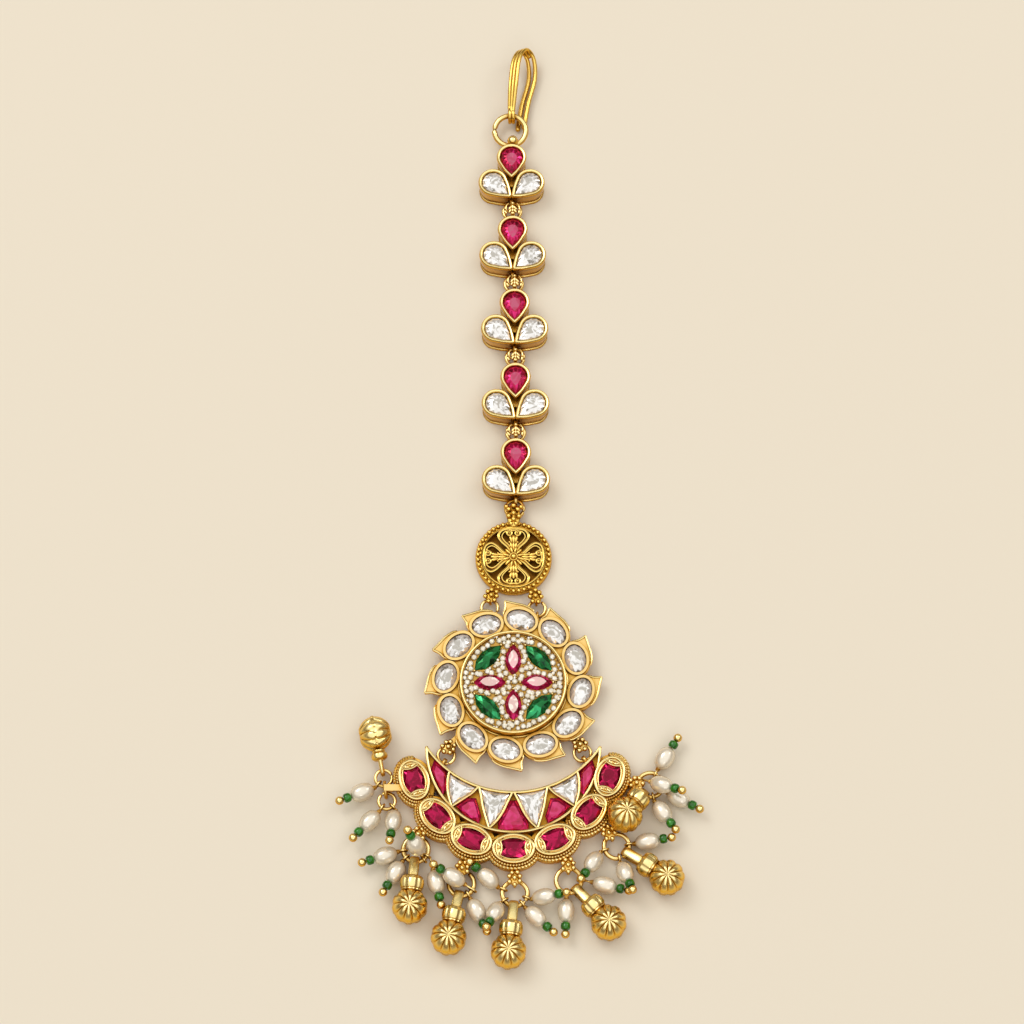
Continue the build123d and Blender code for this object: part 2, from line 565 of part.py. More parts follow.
with BuildPart() as crescent:
    with BuildSketch(Plane.XY) as lune:
        with Locations((0, HORN_CIRCLE_Y)):
            Circle(HORN_CIRCLE)
        with Locations((0, BITE_CIRCLE_Y)):
            Circle(BITE_CIRCLE, mode=Mode.SUBTRACT)
        fillet(lune.vertices(), 0.4)
    extrude(amount=CRESCENT_HEIGHT)
    for amount, grow in ((OVAL_LEDGE_HEIGHT, OVAL_LEDGE), (OVAL_HEIGHT, 0.0)):
        with BuildSketch(Plane.XY):
            for x, y, turn in OVALS:
                with Locations(Location((x, y, 0), (0, 0, turn))):
                    Ellipse(OVAL_CUP[0] + grow, OVAL_CUP[1] + grow)
        extrude(amount=amount)
    with BuildSketch(Plane.XY.offset(OVAL_HEIGHT)):
        for x, y, turn in OVALS:
            with Locations(Location((x, y, 0), (0, 0, turn))):
                add(cushion(*OVAL_STONE, CLEAR))
    extrude(amount=OVAL_POCKET - OVAL_HEIGHT, mode=Mode.SUBTRACT)
    with BuildSketch(Plane.XY.offset(CRESCENT_HEIGHT)):
        with Locations((0, HORN_CIRCLE_Y)):
            Circle(HORN_CIRCLE - CRESCENT_RIM)
        with Locations((0, BITE_CIRCLE_Y)):
            Circle(BITE_CIRCLE + CRESCENT_RIM, mode=Mode.SUBTRACT)
    extrude(amount=CRESCENT_POCKET - CRESCENT_HEIGHT, mode=Mode.SUBTRACT)
    for points in DIVIDERS + [mirror_x(p) for p in DIVIDERS]:
        with BuildSketch(Plane.XY.offset(CRESCENT_POCKET - CRESCENT_RIM)):
            Polygon(*band(points, DIVIDER), align=None)
        extrude(amount=CRESCENT_HEIGHT - CRESCENT_POCKET + CRESCENT_RIM)
    for (x, y), (up_x, up_y) in zip(CRESCENT_EYE, MEDALLION_EYE[2:]):
        heading = bearing_to((up_x, up_y), (x, y))
        with Locations(upright(x, y, SMALL_EYE_Z, heading)):
            Torus(*SMALL_EYE)
        with Locations(along((*step_from((x, y), heading, CRESCENT_TAB_AT), SMALL_EYE_Z), heading)):
            Box(*CRESCENT_TAB)
    for (ring_x, ring_y, bearing), (oval_x, oval_y, turn) in zip(DROP_RINGS, OVALS[1:]):
        x, y = eyelet_root((ring_x, ring_y), bearing)
        with Locations(upright(x, y, RING_Z, bearing)):
            Torus(*DROP_EYE)
        start = step_from((x, y), bearing, DROP_EYE[0])
        heading = bearing_to(start, (oval_x, oval_y))
        reach = hypot(oval_x - start[0], oval_y - start[1]) - OVAL_CUP[1]
        with Locations(along((*step_from(start, heading, reach / 2), RING_Z), heading)):
            Box(reach, *DROP_TAB)
    with Locations(upright(*PAIR_EYE, PAIR_EYE_HEADING)):
        Torus(*PAIR_EYE_SIZE)
    with Locations(PAIR_TAB_AT):
        Box(*PAIR_TAB)
write(crescent.part, "crescent")

seat, girdle, table = CRESCENT_POCKET + CLEAR, CRESCENT_HEIGHT - 0.3, CRESCENT_HEIGHT + 0.3
for name, outlines in (("crystals", CRESCENT_CRYSTALS), ("rubies", CRESCENT_RUBIES)):
    stones = [cut_stone(points, seat, girdle, table) for points in outlines]
    write(gather(stones), f"crescent_{name}")

half_x, half_y = OVAL_STONE
oval_corners = trim_corners([(half_x, half_y), (-half_x, half_y), (-half_x, -half_y), (half_x, -half_y)])
oval_ruby = cut_stone(oval_corners, OVAL_POCKET + CLEAR, OVAL_HEIGHT - 0.4, OVAL_HEIGHT + 0.3)
write(gather([Location((x, y, 0), (0, 0, turn)) * oval_ruby for x, y, turn in OVALS]), "oval_rubies")


# ---------------------------------------------------------------- drop rings
pair = [wire_ring(centre, FIRST_RING, FIRST_RING_WIRE, PAIR_EYE[2]) for centre in PAIR_RINGS]
write(gather(pair), "drop_ring_1")
for number, (x, y, bearing) in enumerate(DROP_RINGS, 2):
    write(wire_ring((x, y), DROP_RING, DROP_RING_WIRE), f"drop_ring_{number}")

RINGS = [(PAIR_RINGS[0], FIRST_RING, PAIR_EYE[2])]
RINGS += [((x, y), DROP_RING, RING_Z) for x, y, bearing in DROP_RINGS]
RINGS += [(PAIR_RINGS[1], FIRST_RING, PAIR_EYE[2])]


# ---------------------------------------------------------------- bells
def lobed_ring(radius, lobes, groove):
    """Corners of a lobed circle, three to a lobe."""
    corners = []
    for i in range(3 * lobes):
        turn = radians(120 / lobes * i)
        size = radius * (groove if i % 3 == 0 else 1.0)
        corners.append((size * cos(turn), size * sin(turn)))
    return corners


def melon():
    """A ball in lobes that meet at its top and bottom."""
    with BuildPart() as ball:
        for latitude in BELL_LATITUDES:
            radius = BELL_RADIUS * cos(radians(latitude))
            with BuildSketch(Plane.XY.offset(BELL_RADIUS * sin(radians(latitude)))):
                Polygon(*lobed_ring(radius, BELL_LOBES, BELL_GROOVE), align=None)
        loft(ruled=True)
    return ball.part


def collar(size):
    """The lobed cap between a bell's ball and its strap, along X."""
    with BuildPart() as cap:
        for x, radius in COLLAR_PROFILE:
            with BuildSketch(Plane.YZ.offset(x * BELL_COLLAR_HALF)):
                Polygon(*lobed_ring(radius * size, COLLAR_LOBES, COLLAR_GROOVE), align=None)
        loft(ruled=True)
    return cap.part


def bell(reach, strap_width, roll):
    """A bell along +X, its ball at the given reach from the ring's wire."""
    collar_x = reach - (SIDE_COLLAR_BACK if roll else BELL_COLLAR_BACK)
    strap_end = collar_x - 0.2
    strap_rise = BELL_COLLAR_Z - 0.2 - RING_Z
    slope = degrees(atan2(strap_rise, strap_end))
    run = hypot(strap_end, strap_rise)
    with BuildPart() as piece:
        with BuildSketch(Plane.XZ):
            with Locations(Location((0, 0, 0), (0, 0, slope))):
                with Locations((run / 2, 0)):
                    SlotCenterToCenter(run, 2 * STRAP_OUT)
                    SlotCenterToCenter(run, 2 * STRAP_IN, mode=Mode.SUBTRACT)
        extrude(amount=strap_width / 2, both=True)
        with Locations(Location((collar_x, 0, BELL_COLLAR_Z - RING_Z), (roll, 0, 0))):
            add(collar(SIDE_COLLAR if roll else BELL_COLLAR))
        with Locations(Location((reach, 0, BELL_RADIUS - RING_Z), (roll, 0, 0))):
            add(melon())
        with Locations((reach + BELL_RADIUS - 0.1, 0, BELL_RADIUS - RING_Z)):
            Sphere(BELL_KNOB)
    return piece.part


for number, (ring, bearing, reach, strap_width, roll, rise) in enumerate(BELLS, 1):
    centre, radius, height = RINGS[ring]
    start = (*step_from(centre, bearing, radius), RING_Z)
    write(at(along(start, bearing, rise), bell(reach, strap_width, roll)), f"bell_{number}")


# ---------------------------------------------------------------- pearl pins
def bored(profile, sides):
    """A turned bead drilled along X."""
    with BuildPart() as bead:
        add(turned(profile, sides))
        with Locations(Plane.YZ):
            Cylinder(BORE, 30, mode=Mode.SUBTRACT)
    return bead.part


PEARL_PROFILE = [
    (-1.0, 0.36), (-0.8, 0.66), (-0.42, 0.93), (0.0, 1.0), (0.42, 0.93), (0.8, 0.66), (1.0, 0.36),
]
pearl = bored([(PEARL_AT + x * PEARL_HALF, r * PEARL_RADIUS) for x, r in PEARL_PROFILE], 12)
GREEN_PROFILE = [(-1.0, 0.7), (-0.4, 1.0), (0.4, 1.0), (1.0, 0.7)]
green = bored([(GREEN_AT + x * GREEN_HALF, r * GREEN_RADIUS) for x, r in GREEN_PROFILE], 10)


def pin_frame(ring, bearing, heading, rise, leave, bare):
    """The plane of a pin: its X starts where the wire leaves its eye on the ring."""
    centre, radius, z = RINGS[ring]
    out, up = PIN_EYE * cos(radians(leave)), PIN_EYE * sin(radians(leave))
    return along((*step_from(centre, bearing, radius + out), z + up), heading, rise)


def pin_on_ring(ring, bearing, heading, rise, leave, bare):
    """A pin whose eye goes round the ring's wire, with a ball on its end."""
    centre, radius, z = RINGS[ring]
    frame = pin_frame(ring, bearing, heading, rise, leave, bare)
    length = BALL_AT + bare
    with BuildPart() as pin:
        with Locations(upright(*step_from(centre, bearing, radius), z, bearing)):
            Torus(PIN_EYE, PIN_WIRE)
        with BuildSketch(Plane(origin=frame.origin, z_dir=frame.x_dir)):
            Circle(PIN_WIRE)
        extrude(amount=length)
        with Locations(frame.origin):
            Sphere(PIN_KNOT)
        with Locations(frame.from_local_coords((length, 0, 0))):
            Sphere(PIN_BALL)
    return pin.part


def on_pin(bead, row):
    """A bead's copy on its pin, past the pin's bare wire."""
    bare = row[-1]
    return at(pin_frame(*row), Location((bare, 0, 0)) * bead)


greens = []
for number in range(1, 8):
    mine = [row[1:] for row in PINS if row[0] == number]
    write(gather([pin_on_ring(*row) for row in mine]), f"pearl_pins_{number}")
    write(gather([on_pin(pearl, row) for row in mine]), f"pearls_{number}")
    greens += [on_pin(green, row) for row in mine]
write(gather(greens), "green_beads")

print(len(written), "pieces written")
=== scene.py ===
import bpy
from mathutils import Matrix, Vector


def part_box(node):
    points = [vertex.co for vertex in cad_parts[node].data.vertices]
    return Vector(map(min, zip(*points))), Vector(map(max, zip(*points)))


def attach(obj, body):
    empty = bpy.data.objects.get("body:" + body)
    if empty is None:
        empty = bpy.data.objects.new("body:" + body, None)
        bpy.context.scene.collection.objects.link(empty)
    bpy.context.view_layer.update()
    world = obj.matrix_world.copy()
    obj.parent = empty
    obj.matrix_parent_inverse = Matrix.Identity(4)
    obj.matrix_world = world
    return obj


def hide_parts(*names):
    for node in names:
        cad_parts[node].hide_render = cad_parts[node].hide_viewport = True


bl_info = {
    "name": "Maang Tikka Dresser",
    "version": (1, 0, 0),
    "blender": (4, 5, 0),
    "location": "View3D > Sidebar > Tikka",
    "description": "Dresses a gilt forehead ornament with rims, grains, cut stones, bells and pearls",
    "category": "Object",
}

import random
from math import asin, atan2, cos, degrees, hypot, pi, radians, sin, sqrt

import bpy
import numpy as np
from mathutils import Matrix, Vector

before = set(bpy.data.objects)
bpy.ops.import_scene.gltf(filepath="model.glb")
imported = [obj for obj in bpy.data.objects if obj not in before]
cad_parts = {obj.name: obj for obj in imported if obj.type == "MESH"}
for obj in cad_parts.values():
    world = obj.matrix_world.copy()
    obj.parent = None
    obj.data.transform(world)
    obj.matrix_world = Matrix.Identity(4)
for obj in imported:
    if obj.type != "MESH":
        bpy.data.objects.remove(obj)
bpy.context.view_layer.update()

# All lengths below are in millimetres; make_piece() turns them into metres.
MM = 0.001
UP = Vector((0, 0, 1))

# ---------------------------------------------------------------- sizes of the object
# Chain links, measured from each link's own origin
LINKS = 5
LINK_ABOVE_BOX = 4.3                    # its origin lies this far above its lower end
CUP_TOP, CUP_FLOOR = 4.2, 3.2
RUBY_CUP, CRYSTAL_CUP = (2.75, 4.2), (2.72, 4.45)      # round end's radius, reach of the point
CUP_TIP, CUP_BOW = 0.5, 0.13            # radius of the point, how far the sides swell
LINK_CUPS = [                           # cup, x, y, turn
    (RUBY_CUP, 0.0, 5.17, 0), (CRYSTAL_CUP, -3.32, 0.15, 49), (CRYSTAL_CUP, 3.32, 0.15, -49),
]
CUP_PROFILE = [                         # inset, height: lip, groove, wall, rolled rim, inner wall
    (0.36, 0.0), (0.2, 0.12), (0.2, 0.36), (0.28, 0.48), (0.42, 0.54), (0.42, 0.78), (0.33, 0.9),
    (0.24, 2.2), (0.18, 3.45), (0.09, 3.66), (0.06, 3.92), (0.14, 4.13), (0.3, 4.25), (0.52, 4.23),
    (0.67, 4.12), (0.73, 3.95), (0.74, 3.7), (0.76, 3.2),
]
STONE_INSET = 0.8
CUP_STONE_HEIGHTS = (CUP_FLOOR + 0.05, CUP_TOP - 0.3, CUP_TOP + 0.15)  # foot, girdle, table
LINK_BOSS_Y, LINK_BOSS = 1.3, [(0, 1.4), (2.1, 1.5), (2.4, 1.3)]       # height, radius
TOP_EYE_Y, FIRST_TOP_EYE_Y, LOW_EYE_Y = 8.2, 8.6, -3.0
# height, radius, wire and sides of the eyelets that stand on edge
TOP_EYE, LOW_EYE, SMALL_EYE = (1.5, 1.1, 0.3, 24), (1.5, 1.0, 0.3, 24), (1.05, 0.72, 0.24, 20)
PAGODA_BUDS = [                         # along, up, half length, radius, turn
    (0, 0, 0.42, 0.42, 0), (0, 0.62, 0.42, 0.27, 90), (-0.46, 0.5, 0.5, 0.27, 64),
    (0.46, 0.5, 0.5, 0.27, 116), (0, 1.3, 0.52, 0.33, 90), (-0.43, 1.08, 0.54, 0.27, 54),
    (0.43, 1.08, 0.54, 0.27, 126), (-1.28, 0.25, 0.52, 0.28, 122), (1.15, 0.3, 0.5, 0.28, 82),
]
PAGODA_ABOVE_EYE, PAGODA_Z = 0.55, 2.95
PAGODA_TOP = (2.02, 2.9, 0.8)           # how far up, height, share of the grains' size
PAGODA_CURL, PAGODA_CURL_Y, PAGODA_CURL_Z, PAGODA_CURL_WIRE = (0.2, 1.0), 1.35, 2.55, 0.14
FIRST_GRAIN = (0.2, 0.35, 3.0, 0.98)    # on the first link's top eye: across, along, height, radius

# Hook and its ring
HOOK_ROUTE = [                          # middle line from the ring, over the bend, to the tip
    (-0.3, 109.6, 3.4), (0.0, 113.6, 4.5), (0.6, 118.6, 4.9), (1.9, 121.0, 3.8), (3.2, 119.9, 2.2),
    (3.4, 116.4, 1.1), (2.2, 111.6, 0.9), (1.4, 106.6, 0.85),
]
HOOK_WIRES = [(-0.66, 0.35, 1.0), (0.0, 0.37, 0.56), (0.66, 0.35, 1.0)]    # shift, wire, share of route
HOOK_START_Y, HOOK_START_Z = 108.3, 3.42
HOOK_WAIST, HOOK_OPENING = 0.66, 0.04   # share of the shift at the ring, and what each step adds
HOOK_SLANT = (0.85, 0.53)               # the wires lie side by side on a slant: across, up
HOOK_BEND_STEP, HOOK_SWELL, HOOK_THICKEST = 26, 0.004, 0.45    # behind the bend the wires thicken
HOOK_EYE, HOOK_EYE_RADIUS, HOOK_EYE_WIRE, HOOK_EYE_SHIFT = (-0.3, 108.45, 2.35), 1.2, 0.36, 0.3
HOOK_RING, HOOK_RING_RADIUS, HOOK_RING_WIRE = (-0.55, 105.6, 1.925), 2.85, 0.5
HOOK_RING_RISE, HOOK_RING_JOINT = 8.48, 86      # tilt, and bearing of the joint, in degrees

# Filigree disc
DISC_BELOW_BOX = 8.7                    # its centre lies this far below its top end
DISC_RIM = [                            # radius, height round the rim's section
    (5.34, 0.35), (5.3, 1.45), (5.36, 1.7), (5.5, 1.8), (5.64, 1.72), (5.72, 1.45), (6.45, 1.35),
    (6.61, 1.15), (6.65, 0.75), (6.57, 0.55), (6.65, 0.35), (6.57, 0.05), (5.6, 0.0),
]
DISC_BEADS, DISC_BEAD_CIRCLE, DISC_BEAD, DISC_BEAD_Z = 42, 6.2, 0.43, 1.48
DISC_BOSS = [(0.75, 1.7), (1.3, 1.5), (1.5, 0.9)]       # height, radius
DISC_EYES, DISC_TOP_EYE_Y, DISC_GRAPE_Z = ((-4.0, -7.75), (3.95, -7.9)), 7.3, 2.1
DISC_CROWN = [          # across, along and height of the grains between the last link and the disc
    (0, 9.05, 2.75), (-0.85, 8.4, 2.7), (0.72, 8.35, 2.75), (0, 7.65, 2.85), (-0.85, 7.2, 2.6),
    (0.95, 7.15, 2.6), (0, 6.65, 2.5), (-0.42, 5.95, 2.1), (0.42, 5.95, 2.1), (-1.25, 9.0, 2.3),
    (1.3, 8.95, 2.3),
]
CROWN_PLATE, CROWN_GRAIN = (7.4, 2.2, 2.1, 1.2), 1.12    # along, height, half length, radius; share
FLOWER_PETALS, FLOWER_CIRCLE, FLOWER_TURN = 12, 1.4, 15
FLOWER_PETAL_Z, FLOWER_PETAL_RISE, FLOWER_PETAL = 1.66, -8, (0.7, 0.26)
FLOWER_HEART, FLOWER_COLLAR = (1.8, 0.58), (1.78, 0.66, 0.13)   # height, radius, wire
# A thin plate under the disc's openings, coloured dark as painted shade
BACKING_RADIUS, BACKING_LOW, BACKING_TOP = 5.45, 0.3, 0.42
LACE_LOOP = [(0.35, 1.0), (1.1, 1.95), (2.1, 2.9), (2.62, 3.9), (2.05, 4.9), (0.75, 5.25)]
LACE_Z, LACE_INNER_Z = 1.42, 1.55       # height of the outer wire, and of all that lies inside it
LACE_BUDS = [                           # across, along, turn, half length, radius
    (0, 2.1, 90, 0.8, 0.3), (-0.42, 2.15, 98, 0.7, 0.27), (0.42, 2.15, 82, 0.7, 0.27),
    (0, 3.3, 90, 0.75, 0.36), (-0.48, 3.32, 102, 0.66, 0.3), (0.48, 3.32, 78, 0.66, 0.3),
]
LACE_WIRE, LACE_INNER_WIRE, LACE_SCROLL_WIRE, LACE_BRIDGE_WIRE = 0.28, 0.15, 0.19, 0.18
LACE_INNER_SHARES, LACE_MIDDLE = (0.77, 0.8), 3.2       # the inner wire: narrower and shorter about here
LACE_SCROLL, LACE_SCROLL_RADIUS = (0.72, 4.4), 0.42
LACE_GRAINS = [(0.72, 4.4, 1.6, 0.2), (1.3, 4.62, 1.5, 0.26), (0.72, 2.72, 1.55, 0.22)]   # x, y, z, radius
LACE_BRIDGE = [(-0.7, 4.95, 1.5), (0, 4.86, 1.58), (0.7, 4.95, 1.5)]
GRAPE = [               # along, across, lift: grains of a cluster that points along +X
    (1.15, 0.0, -0.25), (0.68, -0.86, -0.1), (0.58, 0.86, -0.1), (0.1, 0.0, 0.28),
    (-0.25, -0.86, 0.0), (-0.2, 0.88, 0.0), (-0.82, -0.42, 0.0), (-0.88, 0.48, 0.0),
]
GRAPE_PLATE, GRAPE_PLATE_Z, PLATE_THICKNESS = (1.3, 1.0), -0.3, 0.25    # thickness as a share of the width

# Medallion
PETALS, PETAL_CIRCLE, FIRST_PETAL, PETAL_TILT = 12, 11.6, 83.5, 12
PETAL_STONE, PETAL_STONE_GROWTH = (2.5, 1.8), 0.04
PLATE_TOP, PETAL_FLOOR = 2.6, 2.2
PETAL_STONE_HEIGHTS = (PETAL_FLOOR + 0.08, 2.72, 3.3)  # foot, girdle, table
DRUM_RADIUS, DRUM_BED, DRUM_TOP = 9.15, 4.0, 4.5
DRUM_RINGS = [                          # height, radius, wire, sides: the drum's rim, the ring at its foot
    (DRUM_TOP, DRUM_RADIUS - 0.22, 0.22, 10), (PLATE_TOP + 0.1, DRUM_RADIUS + 0.1, 0.2, 8),
]
MARQUISE_KINDS = [                      # half length, half width, radius and bearing of its place, turn
    (2.8, 1.35, 4.0, 0, 0), (3.2, 1.42, 6.15, 45, 90),
]
MARQUISE_CUTS = [(6, 0.58, 2.0, 1.0), (4, 0.38, 1.0, 0.7)]     # facets of a side, share, glare, fire
MARQUISE_HEIGHTS, MARQUISE_GROWTH = (3.68, 4.05, 4.72), (0.04, 0.08)
MARQUISE_GRAIN, MARQUISE_GRAIN_Z, MARQUISE_GRAIN_OUT = 0.24, 4.25, 0.02
PETAL_BEZEL = [                         # growth, height: wall, outer lip, flat band, inner lip
    (0.52, 2.5), (0.52, 2.86), (0.49, 2.98), (0.43, 3.0), (0.38, 2.93), (0.35, 2.78), (0.27, 2.78),
    (0.24, 2.93), (0.2, 3.04), (0.14, 3.02), (0.09, 2.88), (0.09, 2.2),
]
PETAL_EDGES = [                         # the wires along a petal's tip and back
    [(2.0, 1.9, 2.5), (1.5, 2.35, 2.58), (0.2, 2.85, 2.6), (-1.5, 3.05, 2.6), (-3.12, 3.25, 2.62)],
    [(-3.12, 3.25, 2.62), (-2.93, 1.95, 2.6), (-3.06, 0.9, 2.58), (-2.85, 0.1, 2.5)],
]
PETAL_EDGE_WIRE, PETAL_GRAIN, PETAL_GRAIN_RADIUS = 0.19, (-3.05, 3.15, 2.66), 0.2
MEDALLION_GRAPES, MEDALLION_GRAPE_Z = ((-10.95, -10.75), (11.3, -10.3)), 1.95
PAVE_MARGIN, PAVE_TO_RIM = 0.92, 0.47   # from the drum's edge to the outer row, and from there to the rim
PAVE_SIZES = (0.52, 0.43, 0.34, 0.27)   # radii as shares of the pitch
PAVE_ROWS = ((0.52, 9), (1.46, 11))     # rows round each marquise: growth, stones on a side
PAVE_EDGE_STONES, PAVE_GRID = 50, 0.2
PAVE_HEIGHTS, PAVE_TILT = (4.0, 4.22, 4.38), 5      # foot, girdle, table; degrees either way
PAVE_OVERLAP, PAVE_PACKING = 0.04, 0.9  # under the marquises' edges; share of two radii between centres
PAVE_GRAIN, PAVE_GRAIN_Z, PAVE_GRAIN_OUT, PAVE_GRAIN_MARGIN = 0.13, 4.24, 0.08, 0.4

# Crescent
HORN_CIRCLE_Y, HORN_CIRCLE = -11.25, 14.9
BITE_CIRCLE_Y, BITE_CIRCLE = -1.35, 17.5
CRESCENT_TOP, CRESCENT_FLOOR = 3.3, 2.3
DIVIDERS = [
    [(-10.75, -15.35), (-11.1, -17.0), (-11.05, -19.2), (-10.42, -21.55)],
    [(-10.42, -21.55), (-8.1, -20.0), (-6.8, -19.1), (-5.8, -18.0)],
    [(-5.8, -18.0), (-5.45, -19.9), (-5.1, -21.9), (-4.12, -25.32)],
    [(-4.12, -25.32), (-2.85, -24.1), (-1.75, -22.5), (-1.0, -20.9), (-0.12, -19.05)],
]
KITE = [(-13.25, -13.7), (-11.4, -15.56), (-11.4, -18.5), (-11.96, -19.1), (-13.22, -16.84), (-13.72, -15.13)]
OUTER_CRYSTAL = [
    (-10.56, -16.05), (-8.6, -17.22), (-6.55, -18.3), (-6.97, -18.85), (-8.25, -19.75), (-10.15, -20.85),
    (-10.78, -19.2), (-10.82, -17.1),
]
SIDE_RUBY = [(-9.3, -21.5), (-7.68, -20.3), (-6.38, -20.3), (-5.6, -23.05), (-6.01, -24.15), (-8.12, -23.05)]
INNER_CRYSTAL = [
    (-5.34, -18.64), (-3.1, -19.16), (-0.8, -19.45), (-1.28, -20.8), (-2.02, -22.36), (-3.1, -23.88),
    (-3.95, -24.5), (-4.8, -21.85), (-5.14, -19.9),
]
MIDDLE_RUBY = [
    (-2.2, -25.42), (2.2, -25.42), (2.25, -24.3), (1.4, -22.56), (0.47, -20.8), (-0.47, -20.8),
    (-1.4, -22.56), (-2.25, -24.3),
]
OVALS = [                               # centre x, centre y, turn of the long axis
    (-16.74, -16.98, 107.6), (-12.76, -23.29, 133.5), (-7.04, -27.29, 158.0),
    (0.05, -28.85, 0.0), (6.98, -27.29, 22.0), (12.71, -22.58, 47.0), (16.25, -16.39, 73.0),
]
OVAL_CUP, OVAL_STONE, OVAL_TOP, OVAL_FLOOR = (3.6, 2.55), (2.35, 1.68), 3.7, 2.7
OVAL_RIM_INSET, OVAL_INNER_INSET, OVAL_INNER_WIRE = 0.2, 0.7, 0.11
OVAL_CORNERS = [                        # shares of the stone's half length and half width
    (1, 0.85), (0.8, 1), (-0.8, 1), (-1, 0.85), (-0.86, 0),
    (-1, -0.85), (-0.8, -1), (0.8, -1), (1, -0.85), (0.86, 0),
]
EDGE_WIRE, DIVIDER_WIRE, HORN_GRAIN = 0.24, 0.2, (14.68, -11.28)
HORN_BEARINGS, BITE_BEARINGS = (180.4, 359.6), (213.6, 326.4)
CRESCENT_STONE_HEIGHTS = (CRESCENT_FLOOR + 0.06, 3.0, 3.55)    # foot, girdle, table
OVAL_STONE_HEIGHTS = (OVAL_FLOOR + 0.08, 3.55, 4.05)
CRYSTAL_GROWTH, RUBY_GROWTH = 1.06, 1.16
CRESCENT_EYES = ((-11.85, -13.45), (12.2, -13.0))
DROP_GRAPE_Z, DROP_GRAPE_OUT = 2.55, 0.35
LEAF_FROM_MIDDLE, LEAF_Z, LEAF = 2.42, 3.5, (1.45, 0.44)
LEAF_DOME = [(1.0, -0.6), (1.0, 0.12), (0.85, 0.2), (0.45, 0.28)]       # share of the outline, height
LEAF_WIRE, LEAF_WIRE_Z = 0.15, 0.3
LEAF_CURLS, LEAF_CURL = [(-0.52, 0.02, 20), (0.52, 0.02, -20)], (0.42, 0.2, 0.9)
LEAF_GRAIN, LEAF_GRAIN_RADIUS = (0, -0.02, 0.34), 0.2
ROPE_ROWS = [           # growth, height, half length and radius of a bead, slant, share of the pitch
    (0.2, 3.04, 0.26, 0.25, 90, 0.82), (0.6, 2.5, 0.48, 0.37, 58, 1.05),
]
ROPE_OPEN_SIDE = -0.6                   # no beads where the outline faces the swag's centre more than this
LEDGE_GROWTH, LEDGE_Z, LEDGE_WIRE = 0.72, 1.7, 0.16
SWAG_CENTRE = (0.0, -8.0)               # the rope borders lie on the side away from here

# Drops
DROPS = 7
RING_HEIGHT = 1.3
DROP_EYES = [80, 87, 91, 92, 123, 180]  # bearing of each eyelet on the rings of drops 2 to 7
BELL_RADIUS, BELL_LOBES = 3.05, 10
BELL_COLLAR, BELL_COLLAR_HALF, BELL_COLLAR_BACK, BELL_COLLAR_HEIGHT = 2.1, 1.25, 4.0, 2.75
SIDE_COLLAR, SIDE_COLLAR_BACK = 1.4, 3.7    # the bell that lies on its side
COLLAR_PROFILE = [                      # shares of the collar's half length and radius
    (-1.0, 0.6), (-0.96, 0.74), (-0.8, 0.86), (-0.55, 0.9), (-0.45, 0.97), (0.0, 1.0),
    (0.5, 0.98), (0.75, 0.92), (0.8, 0.84), (1.0, 0.86), (1.15, 0.78), (1.25, 0.6),
]
SIDE_COLLAR_PROFILE = [
    (-0.75, 0.4), (-0.66, 0.76), (-0.42, 0.96), (-0.1, 1.0), (0.2, 0.92), (0.34, 0.74),
    (0.46, 0.8), (0.62, 0.78), (0.8, 0.5),
]
COLLAR_LOBES, COLLAR_NICK = 3, 0.09     # waves in half a turn, how deep the nicks between them are
STRAP_INTO_COLLAR, STRAP_BEND = 0.2, 0.81
SIDE_GRAIN, SIDE_GRAIN_OUT = 0.42, 0.95     # at the end of the bell on its side; share of its radius
# The ball: its radius at the poles, what it gains from there, and how far down it is full; then the
# lobes of its stars: where they begin to narrow, over what share, their width, height and start
POLE_SHARE, BELLY_SHARE, BELLY_FROM_POLE = 0.85, 0.15, 1.45
STAR_NARROWS, STAR_TAPER, STAR_ROOM, STAR_LIFT, STAR_EYE = 0.72, 0.28, 0.94, 0.3, 0.3
SEAM_DEPTH, SEAM_HALF, RIB_LIFT = 0.09, 0.04, 0.132
STAR_REACH, SIDE_STAR_REACH, STAR_TURN = 1.42, 1.6, 18  # radians from the pole; turn in degrees
BELLS = [               # ring, bearing on the ring, reach, strap width, roll, rise
    (0, 101.5, 6.1, 0.7, 90, 0), (1, 265.2, 8.0, 1.6, 0, 0), (2, 257.8, 7.6, 1.6, 0, 0),
    (3, 264.0, 8.1, 1.6, 0, 0), (4, 311.0, 7.9, 1.6, 0, 0), (5, 325.0, 8.0, 1.6, 0, 0),
    (6, 233.0, 5.8, 1.6, 0, 12),
]
PEARL_TO_BALL, PEARL_HALF, PEARL_RADIUS = 4.15, 2.05, 1.5
PEARL_UNEVEN, PEARL_BLUNT = (0.94, 1.04), 0.82
GREEN_HALF, GREEN_RADIUS = 0.62, 0.82
GREEN_PROFILE = [                       # share of the half length, radius
    (-1, 0.3), (-1, 0.55), (-0.7, 0.76), (-0.25, GREEN_RADIUS),
    (0.25, GREEN_RADIUS), (0.7, 0.76), (1, 0.55), (1, 0.3),
]
END_BALL, WRAP_RADIUS, WRAP_TAPER, WRAP_WIRE = 0.74, 0.36, 0.04, 0.1
WRAPS = (0.05, 0.22, 0.39)              # distance of each turn of wire from the pearl


# ---------------------------------------------------------------- settings in the sidebar
COLOUR = {"subtype": "COLOR", "size": 3, "min": 0, "max": 1}
LENGTH = {"subtype": "DISTANCE", "unit": "LENGTH"}


